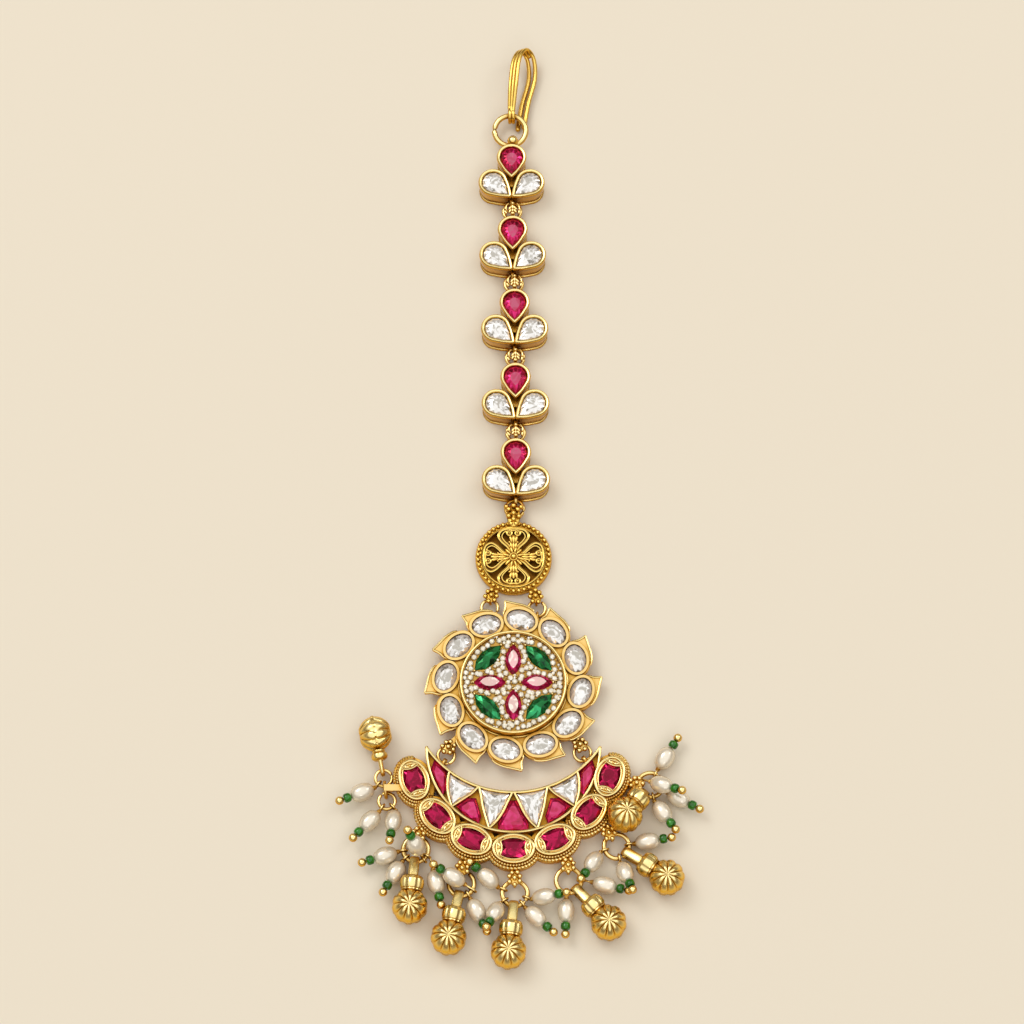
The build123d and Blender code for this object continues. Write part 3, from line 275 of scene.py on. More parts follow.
class TikkaMetal(bpy.types.PropertyGroup):
    """Colours and grain of the gilt metal."""
    # The lighter gilt, painted as a highlight on open faces that face up
    bright: bpy.props.FloatVectorProperty(
        name="Painted highlight gilt", description="Colour of the gilding where it stands out",
        default=(1.0, 0.82, 0.36), **COLOUR)
    # The gilt on sides and on faces away from the painted highlight and the corners
    body: bpy.props.FloatVectorProperty(
        name="Gilt", description="Colour of the sheltered gilding",
        default=(0.74, 0.38, 0.022), **COLOUR)
    # Also the painted highlight colour on the open upward faces of the satin finishes
    satin: bpy.props.FloatVectorProperty(
        name="Satin gilt", description="Colour of the brushed plates",
        default=(0.80, 0.56, 0.21), **COLOUR)
    # Patina and painted shade: the colour that ambient occlusion puts in corners and recesses
    deep: bpy.props.FloatVectorProperty(
        name="Patina and shade", description="Colour left in the recesses",
        default=(0.20, 0.08, 0.008), **COLOUR)
    roughness: bpy.props.FloatProperty(
        name="Roughness", description="Roughness of the rubbed metal", min=0, max=1, default=0.18)
    # How far the patina and painted shade spread from a corner
    recess: bpy.props.FloatProperty(
        name="Recess reach", description="How far the patina spreads from a corner",
        min=0, default=0.0014, **LENGTH)


class TikkaStones(bpy.types.PropertyGroup):
    """Colours of the foil-backed stones, pearls and beads."""
    ruby: bpy.props.FloatVectorProperty(
        name="Ruby", description="Colour of the red paste",
        default=(0.46, 0.003, 0.055), **COLOUR)
    emerald: bpy.props.FloatVectorProperty(
        name="Emerald", description="Colour of the green paste",
        default=(0.004, 0.15, 0.03), **COLOUR)
    crystal: bpy.props.FloatVectorProperty(
        name="Crystal", description="Colour of the clear paste",
        default=(0.95, 0.94, 0.92), **COLOUR)
    pearl: bpy.props.FloatVectorProperty(
        name="Pearl", description="Body colour of the pearls",
        default=(0.84, 0.775, 0.65), **COLOUR)
    green_bead: bpy.props.FloatVectorProperty(
        name="Green bead", description="Colour of the small glass beads",
        default=(0.01, 0.10, 0.004), **COLOUR)
    pave_pitch: bpy.props.FloatProperty(
        name="Pave pitch", description="Spacing of the small clear stones",
        min=0.0005, default=0.00098, **LENGTH)


class TikkaGrains(bpy.types.PropertyGroup):
    """Sizes of the applied grains and wires."""
    grain: bpy.props.FloatProperty(
        name="Grain radius", description="Radius of the grains in a cluster",
        min=0.0001, default=0.00044, **LENGTH)
    rope_pitch: bpy.props.FloatProperty(
        name="Rope pitch", description="Spacing of the beads in the rope borders",
        min=0.0002, default=0.00052, **LENGTH)
    rim: bpy.props.FloatProperty(
        name="Rim radius", description="Radius of the rolled rims round the stones",
        min=0.0001, default=0.00028, **LENGTH)


class TikkaStage(bpy.types.PropertyGroup):
    """Floor, lamps and camera."""
    floor: bpy.props.FloatVectorProperty(
        name="Floor", description="Colour of the floor and background",
        default=(0.811, 0.739, 0.607), **COLOUR)
    key_power: bpy.props.FloatProperty(
        name="Key lamp", description="Power of the main lamp", subtype="POWER", unit="POWER",
        min=0, default=6.2)
    fill: bpy.props.FloatProperty(
        name="Sky", description="Strength of the light from above", min=0, default=1.18)
    camera_height: bpy.props.FloatProperty(
        name="Camera elevation", description="Angle of the camera above the floor",
        subtype="ANGLE", unit="ROTATION", default=radians(70))
    camera_distance: bpy.props.FloatProperty(
        name="Camera distance", description="From the camera to the point it looks at",
        default=0.560, **LENGTH)


def settings():
    """The sidebar settings of this scene."""
    scene = bpy.context.scene
    return scene.tikka_metal, scene.tikka_stones, scene.tikka_grains, scene.tikka_stage


# ---------------------------------------------------------------- collecting shapes
PLAIN_TONE = 0.5


class Shape:
    """Corners and faces collected for one piece, in millimetres, and a tone for each face."""

    def __init__(self):
        self.points, self.faces, self.tones = [], [], []

    def add(self, points, faces, place=None, tones=None):
        """Add corners and the faces between them, moved to a place."""
        start = len(self.points)
        if place is not None:
            points = [place @ Vector(p) for p in points]
        self.points += [tuple(p) for p in points]
        self.faces += [tuple(start + i for i in face) for face in faces]
        self.tones += tones or [PLAIN_TONE] * len(faces)


def spot(x, y, z=0.0, turn=0.0, rise=0.0, roll=0.0):
    """A place: X along a heading that climbs, then rolled about that X. Angles in degrees."""
    return (Matrix.Translation((x, y, z)) @ Matrix.Rotation(radians(turn), 4, "Z")
            @ Matrix.Rotation(-radians(rise), 4, "Y") @ Matrix.Rotation(radians(roll), 4, "X"))


def facing(start, towards):
    """A place at a point whose X runs along a direction."""
    run = Vector(towards).normalized()
    side = UP.cross(run)
    side = side.normalized() if side.length > 1e-6 else Vector((0, 1, 0))
    axes = Matrix((run, side, run.cross(side))).transposed().to_4x4()
    return Matrix.Translation(start) @ axes


def step(point, bearing, distance):
    """The point at a distance from another in plan, along a bearing in degrees."""
    return point[0] + distance * cos(radians(bearing)), point[1] + distance * sin(radians(bearing))


def on_place(place, x, y, z):
    """A point given in a place's own axes."""
    return place @ Vector((x, y, z))


def skin(shape, rings, place=None, loop=False):
    """Skin a row of rings of corners that have the same count; the ends are capped, or joined in a loop."""
    count = len(rings[0])
    rows = len(rings)
    faces = []
    for row in range(rows if loop else rows - 1):
        low, high = row * count, (row + 1) % rows * count
        for i in range(count):
            following = (i + 1) % count
            faces.append((low + i, low + following, high + following, high + i))
    if not loop:
        faces.append(tuple(reversed(range(count))))
        faces.append(tuple(range((rows - 1) * count, rows * count)))
    shape.add([p for ring in rings for p in ring], faces, place)


def turned(shape, profile, place=None, sides=16, lobe=None):
    """A turned solid round its own X, from (place along X, radius) steps, closed to a point where the
    radius is nothing. lobe(angle) may scale the radius."""
    angles = [2 * pi * i / sides for i in range(sides)]
    scale = [lobe(a) if lobe else 1.0 for a in angles]
    points, rows = [], []
    for x, radius in profile:
        if radius == 0:
            rows.append([len(points)])
            points.append((x, 0, 0))
            continue
        rows.append(list(range(len(points), len(points) + sides)))
        points += [(x, radius * s * cos(a), radius * s * sin(a)) for a, s in zip(angles, scale)]
    faces = []
    for first, second in zip(rows, rows[1:]):
        for i in range(sides):
            j = (i + 1) % sides
            if len(first) == 1:
                faces.append((first[0], second[j], second[i]))
            elif len(second) == 1:
                faces.append((first[i], first[j], second[0]))
            else:
                faces.append((first[i], first[j], second[j], second[i]))
    if len(rows[0]) > 1:
        faces.append(tuple(reversed(rows[0])))
    if len(rows[-1]) > 1:
        faces.append(tuple(rows[-1]))
    shape.add(points, faces, place)


def round_profile(half, radius, steps=6, power=1.0):
    """Profile of a rounded bead along X, from pole to pole."""
    profile = []
    for i in range(steps + 1):
        a = pi * i / steps
        profile.append((-half * cos(a), 0 if i in (0, steps) else radius * sin(a) ** power))
    return profile


def grain(shape, x, y, z, radius, sides=10):
    """One solid grain of metal."""
    turned(shape, round_profile(radius, radius), spot(x, y, z, rise=90), sides)


def seed(shape, place, half, radius, thick, steps=7, sides=12):
    """A long low drop along X, flattened to a thickness."""
    turned(shape, round_profile(half, radius, steps, 0.8), place @ Matrix.Diagonal((1, 1, thick, 1)), sides)


def tube(shape, path, radius, closed=False, sides=8, place=None):
    """A round wire along a path. radius may be a list, one for each point."""
    path = [Vector(p) for p in path]
    count = len(path)
    radii = radius if isinstance(radius, list) else [radius] * count
    section = [(cos(2 * pi * i / sides), sin(2 * pi * i / sides)) for i in range(sides)]
    rings = []
    for i, point in enumerate(path):
        before = path[i - 1] if closed or i > 0 else point
        after = path[(i + 1) % count] if closed or i < count - 1 else point
        run = (after - before).normalized()
        across = run.cross(UP).normalized()
        above = across.cross(run)
        rings.append([point + (across * a + above * b) * radii[i] for a, b in section])
    skin(shape, rings, place, loop=closed)


def curve_through(corners, closed=True, steps=6):
    """A smooth path through a few corners."""
    corners = [Vector(c) for c in corners]
    count = len(corners)
    path = []
    for i in range(count if closed else count - 1):
        a = corners[i - 1] if closed or i > 0 else corners[i]
        b, c = corners[i], corners[(i + 1) % count]
        d = corners[(i + 2) % count] if closed or i + 2 < count else c
        for k in range(steps):
            t = k / steps
            path.append(0.5 * (2 * b + (c - a) * t + (2 * a - 5 * b + 4 * c - d) * t * t
                               + (3 * b - 3 * c + d - a) * t * t * t))
    if not closed:
        path.append(corners[-1])
    return path


JOINT_SHARE = 0.7       # of the wire's thickness, at the two ends of an open ring


def hoop(shape, place, radius, wire, sides=36, wire_sides=10, gap=0.0):
    """A ring of round wire in its place's XY plane. gap is the angle left open, in degrees."""
    if gap:
        angles = [radians(gap / 2 + (360 - gap) * i / sides) for i in range(sides + 1)]
        end = wire * JOINT_SHARE
        thick = [end] + [wire] * (sides - 1) + [end]
    else:
        angles = [2 * pi * i / sides for i in range(sides)]
        thick = wire
    path = [(radius * cos(a), radius * sin(a), 0) for a in angles]
    tube(shape, path, thick, closed=not gap, sides=wire_sides, place=place)


def eyelet(shape, x, y, kind, turn=90):
    """An eyelet that stands on edge; its kind gives its height, radius, wire and sides."""
    height, radius, wire, sides = kind
    hoop(shape, spot(x, y, height, turn, roll=90), radius, wire, sides)


def ring_of_profile(shape, profile, place, sides=96):
    """A ring turned round Z from a closed section of (radius, height) corners."""
    rings = []
    for i in range(sides):
        a = 2 * pi * i / sides
        rings.append([(r * cos(a), r * sin(a), z) for r, z in profile])
    skin(shape, rings, place, loop=True)


# ---------------------------------------------------------------- outlines, in their own plane
def pear_outline(radius, reach, inset=0.0, arc=30, side=5, tip=6):
    """A circle drawn out by swelling sides to a small round point towards -Y, made smaller all round."""
    lean = asin((radius - CUP_TIP) / (reach - CUP_TIP))
    big, small = radius - inset, max(CUP_TIP - inset, 0.03)
    low = -(big - small) / sin(lean)
    points = []
    for i in range(arc + 1):
        a = -lean + (pi + 2 * lean) * i / arc
        points.append((big * cos(a), big * sin(a)))
    end = (-small * cos(lean), low - small * sin(lean))
    swell = []
    for k in range(1, side):
        t = k / side
        out = CUP_BOW * sin(pi * t)
        swell.append((points[-1][0] * (1 - t) + end[0] * t - out * cos(lean),
                      points[-1][1] * (1 - t) + end[1] * t - out * sin(lean)))
    point = []
    for i in range(tip + 1):
        a = pi + lean + (pi - 2 * lean) * i / tip
        point.append((small * cos(a), low + small * sin(a)))
    return points + swell + point + [(-x, y) for x, y in reversed(swell)]


def pear_corners(radius, reach, inset):
    """Corners of a pear-cut stone."""
    return pear_outline(radius, reach, inset, 8, 2, 1)


def oval_outline(half_x, half_y, count=40, start=0.0):
    """Even steps round an ellipse."""
    return [(half_x * cos(2 * pi * (i + start) / count), half_y * sin(2 * pi * (i + start) / count))
            for i in range(count)]


def marquise_outline(half_length, half_width, grow=0.0, count=8):
    """A pointed oval of two arcs, its points along X, which grow faster than its sides."""
    half_length, half_width = half_length + 1.8 * grow, half_width + grow
    bow = (half_length**2 - half_width**2) / (2 * half_width)
    radius = bow + half_width
    span = atan2(half_length, bow)
    arc = [-span + 2 * span * i / count for i in range(count)]
    lower = [(radius * sin(a), bow - radius * cos(a)) for a in arc]
    return lower + [(-x, -y) for x, y in lower]


def middle_point(points):
    """Mean of a polygon's corners."""
    return sum(x for x, y in points) / len(points), sum(y for x, y in points) / len(points)


def scaled(points, share):
    """A polygon's corners scaled about its middle."""
    cx, cy = middle_point(points)
    return [(cx + (x - cx) * share, cy + (y - cy) * share) for x, y in points]


def mirrored(points):
    """The same corners on the other side of the middle line."""
    return [(-x, y) for x, y in reversed(points)]


# ---------------------------------------------------------------- cut stones
FOOT_SHARE, BELT_SHARE, STAR_ROW_SHARE = 0.9, 0.08, 0.62
dice = random.Random(7)


def stone(shape, corners, heights, place, share=0.5, shoulder=0.8, glare=2.0, fire=1.0):
    """A cut stone: corners at the girdle, kite and star facets up to a table. heights are those of its
    foot, girdle and table, and share and shoulder the sizes of the table and of the row of stars. Each
    facet gets a tone up to its fire, which picks its painted glints and dark flashes, and the table a tone
    from 1, plain, to 2, pale, which sets its painted colour."""
    low, girdle, table = heights
    cx, cy = middle_point(corners)
    count = len(corners)
    middle = [((x + nx) / 2, (y + ny) / 2)
              for (x, y), (nx, ny) in zip(corners, corners[1:] + corners[:1])]

    def level(points, scale, height):
        return [(cx + (x - cx) * scale, cy + (y - cy) * scale, height) for x, y in points]

    rise = girdle + (table - girdle) * STAR_ROW_SHARE
    points = (level(corners, FOOT_SHARE, low) + level(corners, 1.0, girdle - BELT_SHARE * (girdle - low))
              + level(corners, 1.0, girdle) + level(middle, shoulder, rise) + level(corners, share, table))
    base, belt, top, star, flat = [range(k * count, (k + 1) * count) for k in range(5)]
    faces = [tuple(reversed(base))]
    for i in range(count):
        j = (i + 1) % count
        faces.append((base[i], base[j], belt[j], belt[i]))
        faces.append((belt[i], belt[j], top[j], top[i]))
        faces.append((top[i], top[j], star[i]))
        faces.append((top[j], star[j], flat[j], star[i]))
        faces.append((star[i], flat[j], flat[i]))
    faces.append(tuple(flat))
    tones = [fire * dice.random() for face in faces]
    tones[-1] = glare
    shape.add(points, faces, place, tones)


# ---------------------------------------------------------------- pieces
SHARP_ANGLE = radians(40)


def make_piece(name, shape, finish, replaces=(), smooth=True):
    """Turn a collected shape into a piece that rides with the body."""
    material = finish_of(finish)
    mesh = bpy.data.meshes.new(name)
    mesh.from_pydata([Vector(p) * MM for p in shape.points], [], shape.faces)
    mesh.attributes.new("tone", "FLOAT", "FACE").data.foreach_set("value", shape.tones)
    if smooth:
        mesh.polygons.foreach_set("use_smooth", [True] * len(mesh.polygons))
        mesh.set_sharp_from_angle(angle=SHARP_ANGLE)
    mesh.materials.append(material)
    mesh.validate()
    mesh.update()
    piece = bpy.data.objects.new(name, mesh)
    bpy.context.scene.collection.objects.link(piece)
    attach(piece, "root")
    if replaces:
        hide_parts(*replaces)


def finish_node(name, finish):
    """Give a node of the frame a finish in place of its plain one."""
    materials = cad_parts[name].data.materials
    materials.clear()
    materials.append(finish_of(finish))


def middle_of(name):
    """Centre of a node's box, in millimetres."""
    low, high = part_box(name)
    return (low + high) / 2 / MM


def loose_parts(name):
    """The loose solids of a node, each as an array of corners in millimetres."""
    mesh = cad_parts[name].data
    parent = list(range(len(mesh.vertices)))

    def root(i):
        while parent[i] != i:
            parent[i] = parent[parent[i]]
            i = parent[i]
        return i

    seen = {}
    for vertex in mesh.vertices:
        key = tuple(round(c * 1e7) for c in vertex.co)
        parent[vertex.index] = seen.setdefault(key, vertex.index)
    for edge in mesh.edges:
        a, b = root(edge.vertices[0]), root(edge.vertices[1])
        parent[a] = b
    groups = {}
    for vertex in mesh.vertices:
        groups.setdefault(root(vertex.index), []).append(vertex.co / MM)
    return [np.array(points) for points in groups.values()]


def measured_ring(points):
    """Centre, radius and wire of a lying jump ring."""
    low, high = points.min(0), points.max(0)
    wire = (high[2] - low[2]) / 2
    return Vector((low + high) / 2), (high[0] - low[0]) / 2 - wire, wire


def drop_rings():
    """The jump rings that carry the drops, in the order of the bells, and last the lower one of the
    pair on drop 1."""
    rings = []
    for number in range(1, DROPS + 1):
        solids = sorted(loose_parts(f"drop_ring_{number}"), key=lambda points: -points[:, 1].mean())
        rings += [measured_ring(points) for points in solids]
    return rings[:1] + rings[2:] + rings[1:2]


# ---------------------------------------------------------------- shader effects
def new_group(name, inputs, outputs):
    """An empty node group with named sockets."""
    group = bpy.data.node_groups.new(name, "ShaderNodeTree")
    for label, kind, default in inputs:
        socket = group.interface.new_socket(label, in_out="INPUT", socket_type=kind)
        socket.default_value = default
    for label, kind in outputs:
        group.interface.new_socket(label, in_out="OUTPUT", socket_type=kind)
    nodes = group.nodes
    return group, nodes.new("NodeGroupInput"), nodes.new("NodeGroupOutput")


def node(tree, kind, inputs=None, **values):
    """A node with its plain properties and the values of its inputs set."""
    made = tree.nodes.new(kind)
    for key, value in values.items():
        setattr(made, key, value)
    set_inputs(made, inputs or {})
    return made


def set_inputs(made, values):
    """Set a node's inputs by their labels."""
    for label, value in values.items():
        made.inputs[label].default_value = value


def wire_up(tree, *pairs):
    """Join (output socket, input socket) pairs."""
    for source, target in pairs:
        tree.links.new(source, target)


def remap(tree, source, low, high, to_low=0.0, to_high=1.0):
    """A value stretched from one range to another and clamped."""
    made = node(tree, "ShaderNodeMapRange", clamp=True)
    for socket, value in zip(made.inputs[1:5], (low, high, to_low, to_high)):
        socket.default_value = value
    tree.links.new(source, made.inputs[0])
    return made.outputs[0]


def feed(tree, socket, value):
    """Give an input another node's output, or a plain value."""
    if isinstance(value, bpy.types.NodeSocket):
        tree.links.new(value, socket)
    else:
        socket.default_value = value


def blend_colours(tree, factor, first, second):
    """Mix two colours, each a socket or a plain colour, by a factor."""
    made = node(tree, "ShaderNodeMix", data_type="RGBA", blend_type="MIX")
    for number, value in ((0, factor), (6, first), (7, second)):
        feed(tree, made.inputs[number], value)
    return made.outputs[2]


def math_of(tree, operation, first, second):
    """One sum of two values, each a socket or a number."""
    made = node(tree, "ShaderNodeMath", operation=operation)
    feed(tree, made.inputs[0], first)
    feed(tree, made.inputs[1], second)
    return made.outputs[0]


def object_noise(tree, scale, detail=2):
    """Noise that stays with the object."""
    noise = node(tree, "ShaderNodeTexNoise", {"Scale": scale, "Detail": detail})
    wire_up(tree, (node(tree, "ShaderNodeTexCoord").outputs["Object"], noise.inputs["Vector"]))
    return noise.outputs[0]


def bumpy(tree, shader, height, strength, distance):
    """Let a height roughen a shader's surface; the distance is in metres."""
    bump = node(tree, "ShaderNodeBump", {"Strength": strength, "Distance": distance})
    wire_up(tree, (height, bump.inputs["Height"]), (bump.outputs[0], shader.inputs["Normal"]))


def gilding_with_painted_light():
    """Group: gilding with a painted highlight on open faces that face up, and dark patina with painted shade
    in the corners.
    """
    group, given, out = new_group(
        "Gilding with painted light",
        [("Painted highlight", "NodeSocketColor", (1, 1, 1, 1)), ("Gilt", "NodeSocketColor", (1, 1, 1, 1)),
         ("Patina and shade", "NodeSocketColor", (0, 0, 0, 1)), ("Reach", "NodeSocketFloat", 0.001),
         ("Roughness", "NodeSocketFloat", 0.3)],
        [("Color", "NodeSocketColor"), ("Roughness", "NodeSocketFloat"), ("Height", "NodeSocketFloat")])
    corners = node(group, "ShaderNodeAmbientOcclusion", samples=5)
    split = node(group, "ShaderNodeSeparateXYZ")
    wire_up(group, (given.outputs["Reach"], corners.inputs["Distance"]),
            (node(group, "ShaderNodeNewGeometry").outputs["Normal"], split.inputs[0]))
    mottle, scratch = object_noise(group, 420, 3), object_noise(group, 2600)

    # How open the metal lies, from ambient occlusion, made patchy: dark patina and painted shade in the
    # corners give way to gilt, and then to the painted highlight
    unoccluded = math_of(group, "ADD", corners.outputs["AO"], remap(group, mottle, 0.3, 0.7, -0.05, 0.04))
    out_of_corners = remap(group, unoccluded, 0.3, 0.68)
    faces_up = remap(group, split.outputs[2], 0.45, 0.9)
    # Painted highlight: open faces that face up get the lighter gilt, as the light from above falls on them
    raised = math_of(group, "MULTIPLY", remap(group, unoccluded, 0.6, 0.85), faces_up)
    sheltered = blend_colours(group, out_of_corners, given.outputs["Patina and shade"], given.outputs["Gilt"])
    colour = blend_colours(group, raised, sheltered, given.outputs["Painted highlight"])

    # Rougher in dull patches, and most of all in the occluded corners
    duller = remap(group, mottle, 0.3, 0.75, -0.03, 0.1)
    worn = math_of(group, "SUBTRACT", 1.0, out_of_corners)
    rough = math_of(group, "ADD", given.outputs["Roughness"],
                    math_of(group, "ADD", duller, math_of(group, "MULTIPLY", worn, 0.25)))
    height = math_of(group, "ADD", scratch, math_of(group, "MULTIPLY", mottle, 1.5))
    wire_up(group, (colour, out.inputs["Color"]), (rough, out.inputs["Roughness"]),
            (height, out.inputs["Height"]))
    return group


def painted_facet_light():
    """Group: painted glints and painted dark flashes of a foil-backed stone, facet by facet, and a table
    painted in a colour of its own: a painted reflection where paler, painted shade where darker.
    """
    group, given, out = new_group(
        "Painted facet light",
        [("Body", "NodeSocketColor", (1, 1, 1, 1)), ("Painted glint", "NodeSocketColor", (1, 1, 1, 1)),
         ("Shade", "NodeSocketColor", (0, 0, 0, 1)), ("Table", "NodeSocketColor", (1, 1, 1, 1)),
         ("Scale", "NodeSocketFloat", 900.0), ("Even", "NodeSocketFloat", 0.5)],
        [("Color", "NodeSocketColor"), ("Height", "NodeSocketFloat"), ("Roughness", "NodeSocketFloat")])
    facet = node(group, "ShaderNodeAttribute", attribute_name="tone").outputs["Fac"]
    place = node(group, "ShaderNodeTexCoord")
    pavilion = node(group, "ShaderNodeTexVoronoi", {"Randomness": 0.9}, feature="F1")
    streaks = node(group, "ShaderNodeTexNoise", {"Detail": 2, "Distortion": 1.6})
    cell = node(group, "ShaderNodeSeparateColor")
    for texture in (pavilion, streaks):
        wire_up(group, (place.outputs["Object"], texture.inputs["Vector"]),
                (given.outputs["Scale"], texture.inputs["Scale"]))
    wire_up(group, (pavilion.outputs["Color"], cell.inputs[0]))

    # Painted brightness of a spot, for its glints and dark flashes: its facet's own tone, the cells of the
    # foil's image, and streaks
    own = math_of(group, "MINIMUM", facet, 0.6)
    mixed = math_of(group, "ADD", math_of(group, "MULTIPLY", own, 0.62),
                    math_of(group, "MULTIPLY", cell.outputs[0], 0.38))
    mixed = math_of(group, "ADD", mixed, remap(group, streaks.outputs[0], 0.3, 0.7, -0.2, 0.24))
    dark = blend_colours(group, remap(group, mixed, 0.08, 0.34), given.outputs["Shade"],
                         given.outputs["Body"])
    colour = blend_colours(group, remap(group, mixed, 0.48, 0.78), dark, given.outputs["Painted glint"])

    # The table's painted colour: a tone from 1 to 2, whole where Even is 1 and in streaks where it is 0
    is_table = remap(group, facet, 1.0, 2.0)
    window = math_of(group, "MAXIMUM", given.outputs["Even"],
                     remap(group, streaks.outputs[0], 0.44, 0.56))
    pale = math_of(group, "MULTIPLY", math_of(group, "MULTIPLY", is_table, window), 0.9)
    colour = blend_colours(group, pale, colour, given.outputs["Table"])
    rough = remap(group, mixed, 0.0, 1.0, 0.16, 0.06)
    wire_up(group, (colour, out.inputs["Color"]), (mixed, out.inputs["Height"]),
            (rough, out.inputs["Roughness"]))
    return group


def effect(name, build):
    """A node group by name, built the first time."""
    return bpy.data.node_groups.get(name) or build()


def new_material(name):
    """A material with its Principled shader: (material, tree, shader)."""
    material = bpy.data.materials.new(name)
    material.use_nodes = True
    tree = material.node_tree
    return material, tree, tree.nodes["Principled BSDF"]


def shaded(colour, scale):
    """A colour made lighter or darker."""
    return tuple(min(1.0, c * scale) for c in colour)


def rgba(colour, scale=1.0):
    """A colour with its alpha, made lighter or darker."""
    return shaded(colour, scale) + (1.0,)


def gilt_material(name, highlight_colour, body, rougher=0.0, corners=None):
    """Gilt metal with a painted highlight colour on open upward faces and its own colour elsewhere; a matter
    kind by a shift of its roughness, and a lighter patina and painted shade in its corners if one is given."""
    metal = settings()[0]
    material, tree, shader = new_material(name)
    wear = node(tree, "ShaderNodeGroup", node_tree=effect("Gilding with painted light", gilding_with_painted_light))
    set_inputs(wear, {"Painted highlight": rgba(highlight_colour), "Gilt": rgba(body), "Patina and shade": rgba(corners or metal.deep),
                      "Reach": metal.recess, "Roughness": metal.roughness + rougher})
    set_inputs(shader, {"Metallic": 1.0})
    wire_up(tree, (wear.outputs["Color"], shader.inputs["Base Color"]),
            (wear.outputs["Roughness"], shader.inputs["Roughness"]))
    bumpy(tree, shader, wear.outputs["Height"], 0.12, 0.00006)
    return material


def foil_material(name, body, glint_colour, shade, table, scale, metallic=0.7, depth=0.0001, even=0.6):
    """A foil-backed stone in its body colour, its painted glints and dark flashes and the painted colour of
    its table.
    """
    material, tree, shader = new_material(name)
    fire = node(tree, "ShaderNodeGroup", node_tree=effect("Painted facet light", painted_facet_light))
    set_inputs(fire, {"Body": rgba(body), "Painted glint": rgba(glint_colour), "Shade": rgba(shade),
                      "Table": rgba(table), "Scale": scale, "Even": even})
    set_inputs(shader, {"Metallic": metallic, "IOR": 1.55, "Coat Weight": 0.15, "Coat Roughness": 0.03})
    wire_up(tree, (fire.outputs["Color"], shader.inputs["Base Color"]),
            (fire.outputs["Roughness"], shader.inputs["Roughness"]))
    bumpy(tree, shader, fire.outputs["Height"], 0.3, depth)
    return material


def pearl_material(name, pearl):
    """Rice pearl: a grey-beige body, lighter in places, with a painted warm shade and gold reflection at its
    edges, under a clear glossy skin.
    """
    material, tree, shader = new_material(name)
    cloud = object_noise(tree, 260, 3)
    grazing = node(tree, "ShaderNodeLayerWeight", {"Blend": 0.35}).outputs["Facing"]
    cloudy = blend_colours(tree, remap(tree, cloud, 0.35, 0.65), rgba(pearl), rgba(pearl, 1.12))
    # Painted warm shade and gold reflection where the skin is seen at a grazing angle
    edge = blend_colours(tree, grazing, cloudy, PEARL_EDGE_SHADE)
    wire_up(tree, (edge, shader.inputs["Base Color"]),
            (remap(tree, cloud, 0.3, 0.7, 0.2, 0.3), shader.inputs["Roughness"]))
    bumpy(tree, shader, cloud, 0.15, 0.0003)
    set_inputs(shader, {"Metallic": 0.35, "Coat Weight": 0.9, "Coat Roughness": 0.08})
    return material


def green_glass_material(name, green):
    """Small dark green glass beads with a lighter heart."""
    material, tree, shader = new_material(name)
    swirl = object_noise(tree, 700)
    heart = blend_colours(tree, remap(tree, swirl, 0.4, 0.7), rgba(green), rgba(green, 2.6))
    wire_up(tree, (heart, shader.inputs["Base Color"]),
            (remap(tree, swirl, 0.3, 0.7, 0.05, 0.14), shader.inputs["Roughness"]))
    set_inputs(shader, {"Metallic": 0.15, "Coat Weight": 0.3, "Coat Roughness": 0.03})
    return material


PEARL_EDGE_SHADE = (0.62, 0.44, 0.2, 1)       # painted warm shade and gold reflection on a pearl's skin seen at a grazing angle
RUBY_SHADE = (0.16, 0.0, 0.012)
# The finishes, made from the settings of the metal and of the stones. Gilt: colour of the painted highlight
# on open upward faces, colour elsewhere, shift of roughness, patina and painted shade in the corners. Paste:
# body, painted glint, painted dark flash, painted colour of the table, fineness of its fire and, where they
# differ, share of metal, depth of its relief and evenness of the table.
GILT_FINISHES = {
    "Polished gilt": lambda metal: (metal.bright, metal.body),
    "Satin gilt": lambda metal: (metal.satin, metal.body, 0.14),
    "Warm gilt": lambda metal: (metal.satin, metal.body, 0.12, (0.46, 0.22, 0.025)),
    "Rope gilt": lambda metal: (metal.bright, (0.82, 0.46, 0.05), 0.02, (0.6, 0.32, 0.035)),
    "Bell gilt": lambda metal: ((1.0, 0.84, 0.38), (0.84, 0.48, 0.045), 0.06),
    "Filigree gilt": lambda metal: ((0.96, 0.68, 0.17), metal.body, 0.0, (0.3, 0.13, 0.012)),
    # The pave bed: a darker gilt, painted shade in the gaps between the small stones
    "Gilt in painted shade": lambda metal: ((0.52, 0.31, 0.08), (0.42, 0.23, 0.04), 0.2),
    # A plate in the dark patina colour throughout: painted shade behind the disc's openings
    "Backing in painted shade": lambda metal: (metal.deep, metal.deep, 0.25),
}
